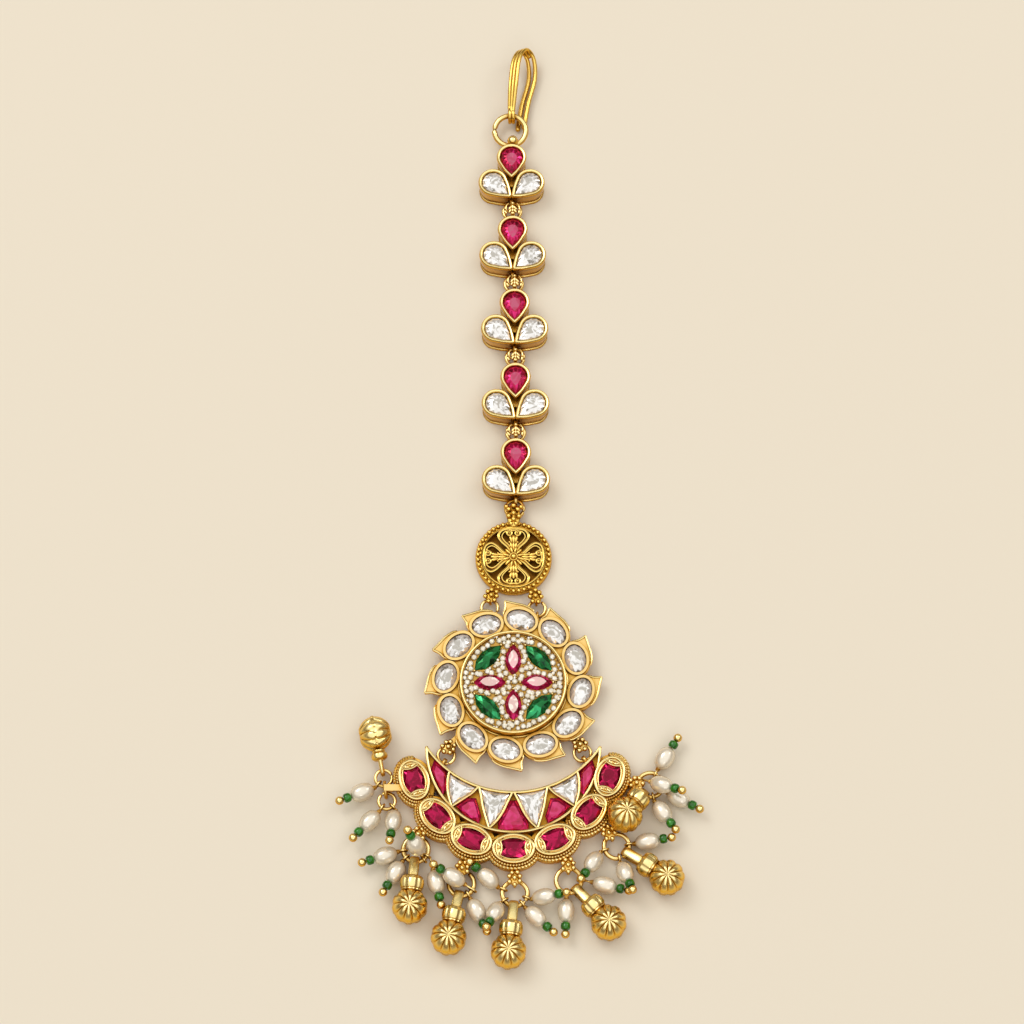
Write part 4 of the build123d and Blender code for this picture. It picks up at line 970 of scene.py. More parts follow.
PASTE_FINISHES = {
    "Ruby paste": lambda stones: (
        stones.ruby, (0.72, 0.015, 0.17), RUBY_SHADE, (0.50, 0.11, 0.18), 520),
    # The marquise rubies: a cream table colour, a painted glare on the table facet
    "Ruby paste with painted glare": lambda stones: (
        stones.ruby, (0.78, 0.015, 0.2), RUBY_SHADE, (0.97, 0.92, 0.80), 420),
    "Deep ruby paste": lambda stones: (
        shaded(stones.ruby, 0.6), (0.78, 0.008, 0.12), (0.1, 0.0, 0.006), (0.12, 0.002, 0.013), 520, 0.85),
    "Emerald paste": lambda stones: (
        stones.emerald, (0.03, 0.42, 0.15), (0.0, 0.03, 0.008), (0.01, 0.22, 0.06), 420),
    "Clear paste": lambda stones: (
        shaded(stones.crystal, 0.92), (1, 1, 0.99), (0.26, 0.235, 0.19), (0.44, 0.415, 0.36),
        640, 0.55, 0.00015, 0.0),
    "Small clear paste": lambda stones: (
        (0.78, 0.71, 0.55), (1, 0.98, 0.92), (0.36, 0.27, 0.12), (0.72, 0.66, 0.52),
        3000, 0.35, 0.0001, 0.0),
}


def finish_of(name):
    """A finish by name, made the first time that a piece asks for it."""
    ready = bpy.data.materials.get(name)
    if ready:
        return ready
    metal, stones = settings()[:2]
    if name in GILT_FINISHES:
        return gilt_material(name, *GILT_FINISHES[name](metal))
    if name in PASTE_FINISHES:
        return foil_material(name, *PASTE_FINISHES[name](stones))
    if name == "Rice pearl":
        return pearl_material(name, stones.pearl)
    return green_glass_material(name, stones.green_bead)


# ---------------------------------------------------------------- the chain
def cup(shape, radius, reach, place):
    """A pear cup: lip, wall, rolled rim and the floor under its stone."""
    rings = [[(x, y, z) for x, y in pear_outline(radius, reach, inset)] for inset, z in CUP_PROFILE]
    skin(shape, rings, place)


def pagoda(shape, x, y, size):
    """Buds and grains piled over the joint of two links; x, y is the middle of the lowest bud."""
    place = spot(x, y, PAGODA_Z)
    for along, up, half, radius, turn in PAGODA_BUDS:
        seed(shape, place @ spot(along, up, 0, turn), half, radius, 1.0)
    up, height, share = PAGODA_TOP
    grain(shape, x, y + up, height, size * share)
    middle, radius = PAGODA_CURL
    arc = [step((middle, 0), bearing, radius) for bearing in range(-55, 56, 11)]
    for side in (0, 180):
        tube(shape, [(px, py, PAGODA_CURL_Z) for px, py in arc], PAGODA_CURL_WIRE,
             place=spot(x, y + PAGODA_CURL_Y, 0, side))


class TIKKA_OT_chain(bpy.types.Operator):
    """Make the five links: pear cups with rolled rims, granules and their stones"""
    bl_idname = "tikka.chain"
    bl_label = "Chain links"

    def execute(self, context):
        metal, rubies, crystals = Shape(), Shape(), Shape()
        size = settings()[2].grain / MM
        links = [f"chain_link_{number}" for number in range(1, LINKS + 1)]
        for link in links:
            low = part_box(link)[0] / MM
            x, y = middle_of(link)[0], low[1] + LINK_ABOVE_BOX
            for (radius, reach), cup_x, cup_y, turn in LINK_CUPS:
                place = spot(x + cup_x, y + cup_y, 0, turn)
                cup(metal, radius, reach, place)
                corners = pear_corners(radius, reach, STONE_INSET)
                stone(crystals if cup_x else rubies, corners, CUP_STONE_HEIGHTS, place)
            turned(metal, LINK_BOSS, spot(x, y + LINK_BOSS_Y, 0, rise=90), 20)
            top_eye = y + (FIRST_TOP_EYE_Y if link == links[0] else TOP_EYE_Y)
            eyelet(metal, x, top_eye, TOP_EYE)
            eyelet(metal, x, y + LOW_EYE_Y, LOW_EYE)
            if link == links[0]:
                across, along, height, radius = FIRST_GRAIN
                grain(metal, x + across, top_eye + along, height, radius, 20)
            else:
                pagoda(metal, x, top_eye + PAGODA_ABOVE_EYE, size)
        make_piece("dressed_links", metal, "Polished gilt", links)
        make_piece("ruby_pears", rubies, "Ruby paste", ["chain_rubies"], False)
        make_piece("clear_pears", crystals, "Clear paste", ["chain_crystals"], False)
        return {"FINISHED"}


def hook_wires(shape):
    """The bent wires of the hook, three in front and two behind, folded down round its ring."""
    route = curve_through(HOOK_ROUTE, False, 8)
    eye_x, eye_y, eye_z = HOOK_EYE
    for shift, wire, share in HOOK_WIRES:
        path = [(eye_x + 0.4 * shift, HOOK_START_Y, HOOK_START_Z)]
        for i, (x, y, z) in enumerate(route[:int(len(route) * share)]):
            spread = shift * min(1.0, HOOK_WAIST + HOOK_OPENING * i)
            path.append((x + HOOK_SLANT[0] * spread, y, z + HOOK_SLANT[1] * spread))
        radii = [min(HOOK_THICKEST, wire + HOOK_SWELL * max(0, i - HOOK_BEND_STEP)) for i in range(len(path))]
        tube(shape, path, radii, sides=12)
        for end in (0, -1):
            grain(shape, *path[end], radii[end], 12)
    for side in (-1, 1):
        eyelet(shape, eye_x + side * HOOK_EYE_SHIFT, eye_y, (eye_z, HOOK_EYE_RADIUS, HOOK_EYE_WIRE, 28))


class TIKKA_OT_rings(bpy.types.Operator):
    """Make the hook's wires, its ring, and the jump rings with their fine joint"""
    bl_idname = "tikka.rings"
    bl_label = "Hook and jump rings"

    def execute(self, context):
        metal, wires, ring = Shape(), Shape(), Shape()
        flat = [f"chain_ring_{number}" for number in range(1, LINKS + 1)]
        flat += ["disc_ring_left", "disc_ring_right", "crescent_ring_left", "crescent_ring_right"]
        flat += [f"drop_ring_{number}" for number in range(1, DROPS + 1)]
        for name in flat:
            for points in loose_parts(name):
                centre, radius, wire = measured_ring(points)
                hoop(metal, spot(*centre, turn=dice.uniform(0, 360)), radius, wire, 40, 12, gap=5)
        make_piece("jump_rings", metal, "Polished gilt", flat)
        hook_wires(wires)
        make_piece("hook_wires", wires, "Filigree gilt", ["hook"])
        place = spot(*HOOK_RING, 90, HOOK_RING_RISE) @ Matrix.Rotation(radians(HOOK_RING_JOINT), 4, "Z")
        hoop(ring, place, HOOK_RING_RADIUS, HOOK_RING_WIRE, 48, 14, gap=3)
        make_piece("dressed_hook_ring", ring, "Polished gilt", ["hook_ring"])
        return {"FINISHED"}


# ---------------------------------------------------------------- the filigree disc
def grape(shape, x, y, z, heading, size):
    """A cluster of eight grains on a small plate that points along a heading."""
    place = spot(x, y, z, heading)
    seed(shape, place @ spot(0, 0, GRAPE_PLATE_Z), *GRAPE_PLATE, PLATE_THICKNESS)
    for grain_place in GRAPE:
        grain(shape, *on_place(place, *grain_place), size)


def lace_petal(shape, centre, heading):
    """One open petal of wire with buds, grains and a pair of scrolls inside."""
    place = spot(*centre, turn=heading - 90)
    half = [(x, y, LACE_Z) for x, y in LACE_LOOP]
    path = curve_through(half + [(-x, y, z) for x, y, z in reversed(half)])
    narrower, shorter = LACE_INNER_SHARES
    inner = [(x * narrower, LACE_MIDDLE + (y - LACE_MIDDLE) * shorter, LACE_INNER_Z) for x, y, z in path]
    tube(shape, path, LACE_WIRE, closed=True, place=place)
    tube(shape, inner, LACE_INNER_WIRE, closed=True, sides=6, place=place)
    for x, y, turn, half_length, radius in LACE_BUDS:
        seed(shape, place @ spot(x, y, LACE_INNER_Z, turn), half_length, radius, 1.0)
    for side in (-1, 1):
        scroll = place @ spot(LACE_SCROLL[0] * side, LACE_SCROLL[1], LACE_INNER_Z)
        hoop(shape, scroll, LACE_SCROLL_RADIUS, LACE_SCROLL_WIRE, 18, 8)
        for x, y, z, radius in LACE_GRAINS:
            grain(shape, *on_place(place, x * side, y, z), radius)
    tube(shape, LACE_BRIDGE, LACE_BRIDGE_WIRE, sides=6, place=place)


class TIKKA_OT_disc(bpy.types.Operator):
    """Make the filigree disc: beaded rim, four wire petals, centre flower and grain clusters"""
    bl_idname = "tikka.disc"
    bl_label = "Filigree disc"

    def execute(self, context):
        metal, backing = Shape(), Shape()
        size = settings()[2].grain / MM
        x, y = middle_of("filigree_disc")[0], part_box("filigree_disc")[1][1] / MM - DISC_BELOW_BOX
        ring_of_profile(metal, DISC_RIM, spot(x, y))
        for i in range(DISC_BEADS):
            px, py = step((x, y), 360 * (i + 0.5) / DISC_BEADS, DISC_BEAD_CIRCLE)
            grain(metal, px, py, DISC_BEAD_Z, DISC_BEAD)
        for heading in (0, 90, 180, 270):
            lace_petal(metal, (x, y), heading)
        for i in range(FLOWER_PETALS):
            bearing = FLOWER_TURN + 360 / FLOWER_PETALS * i
            px, py = step((x, y), bearing, FLOWER_CIRCLE)
            seed(metal, spot(px, py, FLOWER_PETAL_Z, bearing, FLOWER_PETAL_RISE), *FLOWER_PETAL, 1.0)
        grain(metal, x, y, *FLOWER_HEART, 14)
        height, radius, wire = FLOWER_COLLAR
        hoop(metal, spot(x, y, height), radius, wire, 20, 6)
        turned(metal, DISC_BOSS, spot(x, y, 0, rise=90), 24)
        eyelet(metal, x, y + DISC_TOP_EYE_Y, TOP_EYE)
        along, height, half_length, radius = CROWN_PLATE
        seed(metal, spot(x, y + along, height, 90), half_length, radius, PLATE_THICKNESS)
        for across, along, height in DISC_CROWN:
            grain(metal, x + across, y + along, height, size * CROWN_GRAIN)
        for eye_x, eye_y in DISC_EYES:
            heading = degrees(atan2(eye_y, eye_x))
            grape(metal, x + eye_x * 0.95, y + eye_y * 0.92, DISC_GRAPE_Z, heading, size)
            eyelet(metal, x + eye_x, y + eye_y, SMALL_EYE)
        make_piece("dressed_disc", metal, "Filigree gilt", ["filigree_disc"])
        # A dark plate behind the openings: painted shade seen through them
        turned(backing, [(BACKING_LOW, BACKING_RADIUS), (BACKING_TOP, BACKING_RADIUS)],
               spot(x, y, 0, rise=90), 64)
        make_piece("disc_shade_backing", backing, "Backing in painted shade")
        return {"FINISHED"}


# ---------------------------------------------------------------- the medallion
def petal_place(number):
    """Place of a petal, its +Y pointing outwards."""
    bearing = FIRST_PETAL + 360 / PETALS * number
    return spot(*step((0, 0), bearing, PETAL_CIRCLE), 0, bearing - 90)


def marquise_places():
    """Each marquise of the medallion: the number of its kind, half length, half width, its place and
    the turn into its own axes."""
    rows = []
    for kind, (half_length, half_width, radius, start, spin) in enumerate(MARQUISE_KINDS):
        for bearing in range(start, start + 360, 90):
            place = spot(*step((0, 0), bearing, radius), 0, bearing + spin)
            rows.append((kind, half_length, half_width, place, place.inverted()))
    return rows


class TIKKA_OT_medallion(bpy.types.Operator):
    """Edge the medallion's petals and drum with rims, and set its stones"""
    bl_idname = "tikka.medallion"
    bl_label = "Medallion"

    def execute(self, context):
        metal, crystals, rubies, emeralds = Shape(), Shape(), Shape(), Shape()
        size = settings()[2].grain / MM
        half_x, half_y = PETAL_STONE
        for number in range(PETALS):
            place = petal_place(number)
            tilted = place @ Matrix.Rotation(-radians(PETAL_TILT), 4, "Z")
            rings = [[(x, y, z) for x, y in oval_outline(half_x + grow, half_y + grow, 48)]
                     for grow, z in PETAL_BEZEL]
            skin(metal, rings, tilted, loop=True)
            for corners in PETAL_EDGES:
                tube(metal, curve_through(corners, closed=False), PETAL_EDGE_WIRE, place=place)
            grain(metal, *on_place(place, *PETAL_GRAIN), PETAL_GRAIN_RADIUS, 8)
            outline = oval_outline(half_x + PETAL_STONE_GROWTH, half_y + PETAL_STONE_GROWTH, 12, 0.5)
            stone(crystals, outline, PETAL_STONE_HEIGHTS, tilted, share=0.55)
        for height, radius, wire, sides in DRUM_RINGS:
            hoop(metal, spot(0, 0, height), radius, wire, 120, sides)
        for kind, half_length, half_width, place, _ in marquise_places():
            facets, share, glare, fire = MARQUISE_CUTS[kind]
            corners = marquise_outline(half_length + MARQUISE_GROWTH[0], half_width + MARQUISE_GROWTH[1],
                                       count=facets)
            stone((rubies, emeralds)[kind], corners, MARQUISE_HEIGHTS, place, share, glare=glare, fire=fire)
            for side in (-1, 1):
                tip = on_place(place, side * (half_length + MARQUISE_GRAIN_OUT), 0, MARQUISE_GRAIN_Z)
                grain(metal, *tip, MARQUISE_GRAIN, 8)
        for x, y in MEDALLION_GRAPES:
            grape(metal, x, y, MEDALLION_GRAPE_Z, degrees(atan2(y, x)), size)
        finish_node("medallion", "Satin gilt")
        make_piece("medallion_edging", metal, "Polished gilt")
        make_piece("clear_ovals", crystals, "Clear paste", ["medallion_crystals"], False)
        # The marquise rubies' tables carry a painted cream glare
        make_piece("ruby_marquises", rubies, "Ruby paste with painted glare", ["medallion_rubies"], False)
        make_piece("emerald_marquises", emeralds, "Emerald paste",
                   ["medallion_emeralds"], False)
        return {"FINISHED"}


def clear_of_marquises(marquises, x, y, gap):
    """True if a point is outside every marquise by at least a gap."""
    for _, half_length, half_width, _, own_axes in marquises:
        local = own_axes @ Vector((x, y, 0))
        bow = (half_length**2 - half_width**2) / (2 * half_width)
        inside = bow + half_width - hypot(local.x, abs(local.y) + bow)
        if inside > -gap and abs(local.x) < half_length + gap:
            return False
    return True


def pave_layout(marquises, pitch, edge):
    """Centre and radius of each small stone. Places round the edge and round the marquises are tried
    first, then those of a fine grid, with ever smaller stones."""
    wanted = [step((0, 0), 360 * i / PAVE_EDGE_STONES, edge) for i in range(PAVE_EDGE_STONES)]
    for _, half_length, half_width, place, _ in marquises:
        for grow, count in PAVE_ROWS:
            row = marquise_outline(half_length, half_width, grow, count)
            wanted += [tuple(on_place(place, x, y, 0).xy) for x, y in row]
    rows = int(edge / PAVE_GRID)
    steps = range(-rows, rows + 1)
    wanted += [(PAVE_GRID * i, PAVE_GRID * j) for i in steps for j in steps]
    taken = []
    for radius in [pitch * share for share in PAVE_SIZES]:
        for x, y in wanted:
            if hypot(x, y) > edge + PAVE_TO_RIM - radius:
                continue
            if not clear_of_marquises(marquises, x, y, radius - PAVE_OVERLAP):
                continue
            if all(hypot(x - a, y - b) > (radius + other) * PAVE_PACKING for a, b, other in taken):
                taken.append((x, y, radius))
    return taken


class TIKKA_OT_pave(bpy.types.Operator):
    """Fill the medallion's bed with small clear stones and the grains that hold them"""
    bl_idname = "tikka.pave"
    bl_label = "Pave"

    def execute(self, context):
        stones, grains, bed = Shape(), Shape(), Shape()
        edge, bed_radius = DRUM_RADIUS - PAVE_MARGIN, DRUM_RADIUS - 0.45
        marquises = marquise_places()
        # A thin darker disc under the small stones: painted shade in the gaps between them
        turned(bed, [(DRUM_BED + 0.01, bed_radius), (DRUM_BED + 0.06, bed_radius)], spot(0, 0, rise=90), 96)
        for x, y, radius in pave_layout(marquises, settings()[1].pave_pitch / MM, edge):
            turned_spot = spot(x, y, 0, 360 * dice.random())
            tilt = Matrix.Rotation(radians(dice.uniform(-PAVE_TILT, PAVE_TILT)), 4, "X")
            stone(stones, oval_outline(radius, radius, 8), PAVE_HEIGHTS, turned_spot @ tilt,
                  share=0.64, shoulder=0.86, glare=dice.uniform(1, 2))
            bearing = 360 * dice.random()
            for turn in (0, 180):
                px, py = step((x, y), bearing + turn, radius + PAVE_GRAIN_OUT)
                if hypot(px, py) < edge + PAVE_GRAIN_MARGIN and clear_of_marquises(marquises, px, py, 0.1):
                    grain(grains, px, py, PAVE_GRAIN_Z, PAVE_GRAIN, 6)
        make_piece("pave_shade_bed", bed, "Gilt in painted shade")
        make_piece("pave_stones", stones, "Small clear paste", smooth=False)
        make_piece("pave_grains", grains, "Polished gilt")
        return {"FINISHED"}


# ---------------------------------------------------------------- the crescent
def arc_between(centre_y, radius, bearings, height, steps=60):
    """Points along a circle on the middle line, from one bearing to another."""
    start, end = bearings
    points = [step((0, centre_y), start + (end - start) * i / steps, radius) for i in range(steps + 1)]
    return [(x, y, height) for x, y in points]


def oval_claws(shape, place):
    """A leaf over each end of an oval stone: a domed plate, its wire edge and engraved curls."""
    for side in (0, 180):
        leaf = place @ spot(0, 0, 0, side) @ spot(LEAF_FROM_MIDDLE, 0, LEAF_Z, 90)
        outline = marquise_outline(*LEAF)
        skin(shape, [[(x * scale, y * scale, z) for x, y in outline] for scale, z in LEAF_DOME], leaf)
        tube(shape, [(x, y, LEAF_WIRE_Z) for x, y in outline], LEAF_WIRE, closed=True, place=leaf)
        for x, y, turn in LEAF_CURLS:
            seed(shape, leaf @ spot(x, y, LEAF_WIRE_Z, turn), *LEAF_CURL, 6, 8)
        grain(shape, *on_place(leaf, *LEAF_GRAIN), LEAF_GRAIN_RADIUS, 8)


def rope_rows(shape, x, y, turn, pitch):
    """Two rows of beads on the outer side of an oval, under its rim and slanted along its ledge, and the
    wire round its foot."""
    place = spot(x, y, 0, turn)
    outward = Vector((x - SWAG_CENTRE[0], y - SWAG_CENTRE[1])).normalized()
    for grow, height, half_length, radius, slant, share in ROPE_ROWS:
        half_x, half_y = OVAL_CUP[0] + grow, OVAL_CUP[1] + grow
        count = int(pi * (half_x + half_y) / (pitch * share))
        for px, py in oval_outline(half_x, half_y, count):
            bearing = degrees(atan2(py / half_y**2, px / half_x**2)) + turn
            if Vector(step((0, 0), bearing, 1)).dot(outward) < ROPE_OPEN_SIDE:
                continue
            point = on_place(place, px, py, height)
            seed(shape, spot(*point, bearing + slant), half_length, radius, 1.1, 6, 8)
    foot = oval_outline(OVAL_CUP[0] + LEDGE_GROWTH, OVAL_CUP[1] + LEDGE_GROWTH)
    tube(shape, [(px, py, LEDGE_Z) for px, py in foot], LEDGE_WIRE, closed=True, sides=6, place=place)


class TIKKA_OT_crescent(bpy.types.Operator):
    """Edge the crescent, and make its oval settings, rope borders, claws and stones"""
    bl_idname = "tikka.crescent"
    bl_label = "Crescent"

    def execute(self, context):
        metal, crystals, rubies, deep = Shape(), Shape(), Shape(), Shape()
        grains = settings()[2]
        rim, pitch, size = grains.rim / MM, grains.rope_pitch / MM, grains.grain / MM
        for centre_y, radius, bearings in ((HORN_CIRCLE_Y, HORN_CIRCLE - 0.21, HORN_BEARINGS),
                                           (BITE_CIRCLE_Y, BITE_CIRCLE + 0.21, BITE_BEARINGS)):
            tube(metal, arc_between(centre_y, radius, bearings, CRESCENT_TOP), EDGE_WIRE)
        for side in (-1, 1):
            grain(metal, side * HORN_GRAIN[0], HORN_GRAIN[1], CRESCENT_TOP, 0.3)
        for corners in DIVIDERS:
            for side in (-1, 1):
                path = curve_through([(-side * px, py, CRESCENT_TOP - 0.04) for px, py in corners], False)
                tube(metal, path, DIVIDER_WIRE)
        heights, flat = CRESCENT_STONE_HEIGHTS, Matrix()
        for outline in (OUTER_CRYSTAL, INNER_CRYSTAL):
            for points in (outline, mirrored(outline)):
                stone(crystals, scaled(points, CRYSTAL_GROWTH), heights, flat)
        for outline in (KITE, SIDE_RUBY, MIDDLE_RUBY):
            for points in (outline, mirrored(outline))[:1 if outline is MIDDLE_RUBY else 2]:
                stone(rubies, scaled(points, RUBY_GROWTH), heights, flat, share=0.6, shoulder=0.84, glare=1.4)
        half_x, half_y = OVAL_CUP
        corners = [(OVAL_STONE[0] * along, OVAL_STONE[1] * across) for along, across in OVAL_CORNERS]
        for x, y, turn in OVALS:
            place = spot(x, y, 0, turn)
            for inset, radius in ((OVAL_RIM_INSET, rim * 0.85), (OVAL_INNER_INSET, OVAL_INNER_WIRE)):
                oval = [(px, py, OVAL_TOP) for px, py in oval_outline(half_x - inset, half_y - inset)]
                tube(metal, oval, radius, closed=True, place=place)
            oval_claws(metal, place)
            rope_rows(metal, x, y, turn, pitch)
            stone(deep, corners, OVAL_STONE_HEIGHTS, place, share=0.6, shoulder=0.86, glare=1.6, fire=0.8)
        for x, y in CRESCENT_EYES:
            eyelet(metal, x, y, SMALL_EYE, degrees(atan2(-y, -x)))
        for (centre, radius, _), bearing in zip(drop_rings()[1:DROPS], DROP_EYES):
            eye = step(centre, bearing, radius)
            grape(metal, *step(eye, bearing, DROP_GRAPE_OUT), DROP_GRAPE_Z, bearing + 180, size)
        finish_node("crescent", "Warm gilt")
        make_piece("crescent_edging", metal, "Rope gilt")
        make_piece("crescent_clear", crystals, "Clear paste", ["crescent_crystals"], False)
        make_piece("crescent_red", rubies, "Ruby paste", ["crescent_rubies"], False)
        make_piece("oval_red", deep, "Deep ruby paste", ["oval_rubies"], False)
        return {"FINISHED"}


# ---------------------------------------------------------------- the bells
def lobe_swell(from_pole, aside):
    """Height, up to 1, across a tear-shaped lobe. from_pole runs from 0 at the pole to 1 at the lobe's
    end, and aside from 0 on its middle line to 1 between two lobes."""
    if from_pole >= 1.0:
        return 0.0
    room = STAR_ROOM
    if from_pole >= STAR_NARROWS:
        room *= sqrt(1 - ((from_pole - STAR_NARROWS) / STAR_TAPER) ** 2)
    return sqrt(max(0.0, 1 - (aside / room) ** 2)) if aside < room else 0.0


def melon(shape, place, spread):
    """A ball with a star of raised tear-shaped lobes round each pole, which lie on the place's Z, and
    ribs between the stars. The lobes end at an angle from the pole, in radians."""
    rows, lobe_steps = 44, 10
    sides = BELL_LOBES * lobe_steps
    points, faces = [], []
    for i in range(1, rows):
        latitude = -pi / 2 + pi * i / rows
        from_pole = (pi / 2 - abs(latitude)) / spread
        belly = BELL_RADIUS * (POLE_SHARE + BELLY_SHARE * min(1.0, from_pole / BELLY_FROM_POLE) ** 1.5)
        seam = SEAM_DEPTH if abs(latitude) < SEAM_HALF else 0.0
        rib = RIB_LIFT if from_pole > 1.0 else 0.0
        for j in range(sides):
            a = 2 * pi * j / sides
            aside = abs((j % lobe_steps) / (lobe_steps / 2) - 1)
            lobe = STAR_LIFT * lobe_swell(from_pole, aside) * min(1.0, from_pole / STAR_EYE)
            size = min(belly + lobe - seam + rib * (1 - aside), BELL_RADIUS)
            out = size * cos(latitude)
            points.append((out * cos(a), out * sin(a), size * sin(latitude)))
    for i in range(rows - 2):
        for j in range(sides):
            k = (j + 1) % sides
            faces.append((i * sides + j, i * sides + k, (i + 1) * sides + k, (i + 1) * sides + j))
    pole, last = BELL_RADIUS * POLE_SHARE, (rows - 2) * sides
    points += [(0, 0, -pole), (0, 0, pole)]
    for j in range(sides):
        k = (j + 1) % sides
        faces.append((len(points) - 2, k, j))
        faces.append((len(points) - 1, last + j, last + k))
    shape.add(points, faces, place)


def strap(shape, run, width, place):
    """A flat band with a raised middle, bent into a long loop round the ring, from X 0 to the collar."""
    half = width / 2
    section = [(half - 0.06, 0.08), (half, 0.0), (half - 0.08, -0.17), (0.08 - half, -0.17), (-half, 0.0),
               (0.06 - half, 0.08), (-half / 2, 0.16), (0.0, 0.19), (half / 2, 0.16)]
    points = []
    for start, centre in ((pi / 2, 0), (-pi / 2, run)):
        for i in range(9):
            a = start + pi * i / 8
            points.append(Vector((centre + STRAP_BEND * cos(a), 0, STRAP_BEND * sin(a))))
    rings = []
    for i, point in enumerate(points):
        onward = (points[(i + 1) % len(points)] - points[i - 1]).normalized()
        above = Vector((0, 1, 0)).cross(onward)
        rings.append([point + Vector((0, across, 0)) + above * lift for across, lift in section])
    skin(shape, rings, place, loop=True)


def nicked(angle):
    """Scale of a collar's radius round its axis: lobes with sharp nicks between them."""
    return 1 - COLLAR_NICK * (1 - abs(sin(COLLAR_LOBES * angle))) ** 1.5


class TIKKA_OT_bells(bpy.types.Operator):
    """Make the seven ribbed bells with their lobed collars and straps"""
    bl_idname = "tikka.bells"
    bl_label = "Bells"

    def execute(self, context):
        rings = drop_rings()
        for number, (ring, bearing, reach, width, roll, rise) in enumerate(BELLS, 1):
            centre, radius, _ = rings[ring]
            start = spot(*step(centre, bearing, radius), RING_HEIGHT, bearing, rise)
            metal = Shape()
            collar_radius, collar_back, profile, star_reach = (
                (SIDE_COLLAR, SIDE_COLLAR_BACK, SIDE_COLLAR_PROFILE, SIDE_STAR_REACH) if roll
                else (BELL_COLLAR, BELL_COLLAR_BACK, COLLAR_PROFILE, STAR_REACH))
            collar_x, collar_z = reach - collar_back, BELL_COLLAR_HEIGHT - RING_HEIGHT
            run, climb = collar_x - STRAP_INTO_COLLAR, BELL_COLLAR_HEIGHT - STRAP_INTO_COLLAR - RING_HEIGHT
            strap(metal, hypot(run, climb), width, start @ spot(0, 0, rise=degrees(atan2(climb, run))))
            collar = [(x * BELL_COLLAR_HALF, r * collar_radius) for x, r in profile]
            turned(metal, collar, start @ spot(collar_x, 0, collar_z, roll=roll), 48, nicked)
            ball = start @ spot(reach, 0, BELL_RADIUS - RING_HEIGHT, roll=roll)
            melon(metal, ball @ Matrix.Rotation(radians(STAR_TURN), 4, "Z"), star_reach)
            if roll:
                grain(metal, *on_place(ball, BELL_RADIUS * SIDE_GRAIN_OUT, 0, 0), SIDE_GRAIN)
            make_piece(f"ribbed_bell_{number}", metal, "Bell gilt", [f"bell_{number}"])
        return {"FINISHED"}


# ---------------------------------------------------------------- pearls and beads
class TIKKA_OT_pearls(bpy.types.Operator):
    """Make the rice pearls, green beads, end balls and the wire wraps of the pins"""
    bl_idname = "tikka.pearls"
    bl_label = "Pearls and pins"

    def execute(self, context):
        beads = [Vector((p.min(0) + p.max(0)) / 2) for p in loose_parts("green_beads")]
        collar = [(share * GREEN_HALF, radius) for share, radius in GREEN_PROFILE]
        wires, glass = Shape(), Shape()
        for number in range(1, DROPS + 1):
            nacre = Shape()
            for points in loose_parts(f"pearls_{number}"):
                centre = Vector(points.mean(0))
                pin = min((bead - centre for bead in beads), key=lambda reach: reach.length)
                place = facing(centre, pin)
                radius = PEARL_RADIUS * dice.uniform(*PEARL_UNEVEN)
                turned(nacre, round_profile(PEARL_HALF, radius, 14, PEARL_BLUNT), place, 24)
                turned(glass, collar, place @ Matrix.Translation((pin.length, 0, 0)), 18)
                ball = on_place(place, PEARL_TO_BALL, 0, 0)
                turned(wires, round_profile(END_BALL, END_BALL, 10), facing(ball, pin), 16)
                for turn, offset in enumerate(WRAPS):
                    wrap = place @ Matrix.Translation((-PEARL_HALF - offset, 0, 0))
                    hoop(wires, wrap @ Matrix.Rotation(pi / 2, 4, "Y"), WRAP_RADIUS - WRAP_TAPER * turn,
                         WRAP_WIRE, 14, 6)
            make_piece(f"rice_pearls_{number}", nacre, "Rice pearl", [f"pearls_{number}"])
            finish_node(f"pearl_pins_{number}", "Polished gilt")
        make_piece("green_glass_beads", glass, "Green bead glass", ["green_beads"])
        make_piece("pin_ends_and_wraps", wires, "Polished gilt")
        return {"FINISHED"}


# ---------------------------------------------------------------- the stage
SKY_BANDS = [           # height of the direction, colour: a pale horizon, dark walls, a bright ceiling
    (0.0, (0.36, 0.33, 0.28)), (0.12, (0.36, 0.33, 0.28)), (0.3, (0.14, 0.095, 0.055)),
    (0.5, (0.20, 0.14, 0.085)), (0.66, (0.92, 0.9, 0.87)), (1.0, (1.0, 0.99, 0.975)),
]


LAMP_AIM = (0, 0.02, 0)
LAMPS = [               # name, place and width in metres, share of the key lamp's power
    ("key", (-0.76, 0.72, 1.35), 0.8, 1.0), ("rim", (0.75, 0.45, 0.75), 0.3, 0.12),
    ("front", (0.15, -1.1, 0.9), 0.35, 0.12),
]
CAMERA_AIM, SENSOR, LENS = (-0.00022, 0.03237, 0), 36, 112.5
FLOOR_REACH = 3.0       # metres


def lamp(name, place, size, power):
    """A soft square lamp that points at the object."""
    light = bpy.data.lights.new(name, "AREA")
    light.shape, light.size, light.energy = "SQUARE", size, power
    holder = bpy.data.objects.new(name, light)
    holder.location = place
    holder.rotation_euler = (Vector(LAMP_AIM) - Vector(place)).to_track_quat("-Z", "Y").to_euler()
    bpy.context.scene.collection.objects.link(holder)


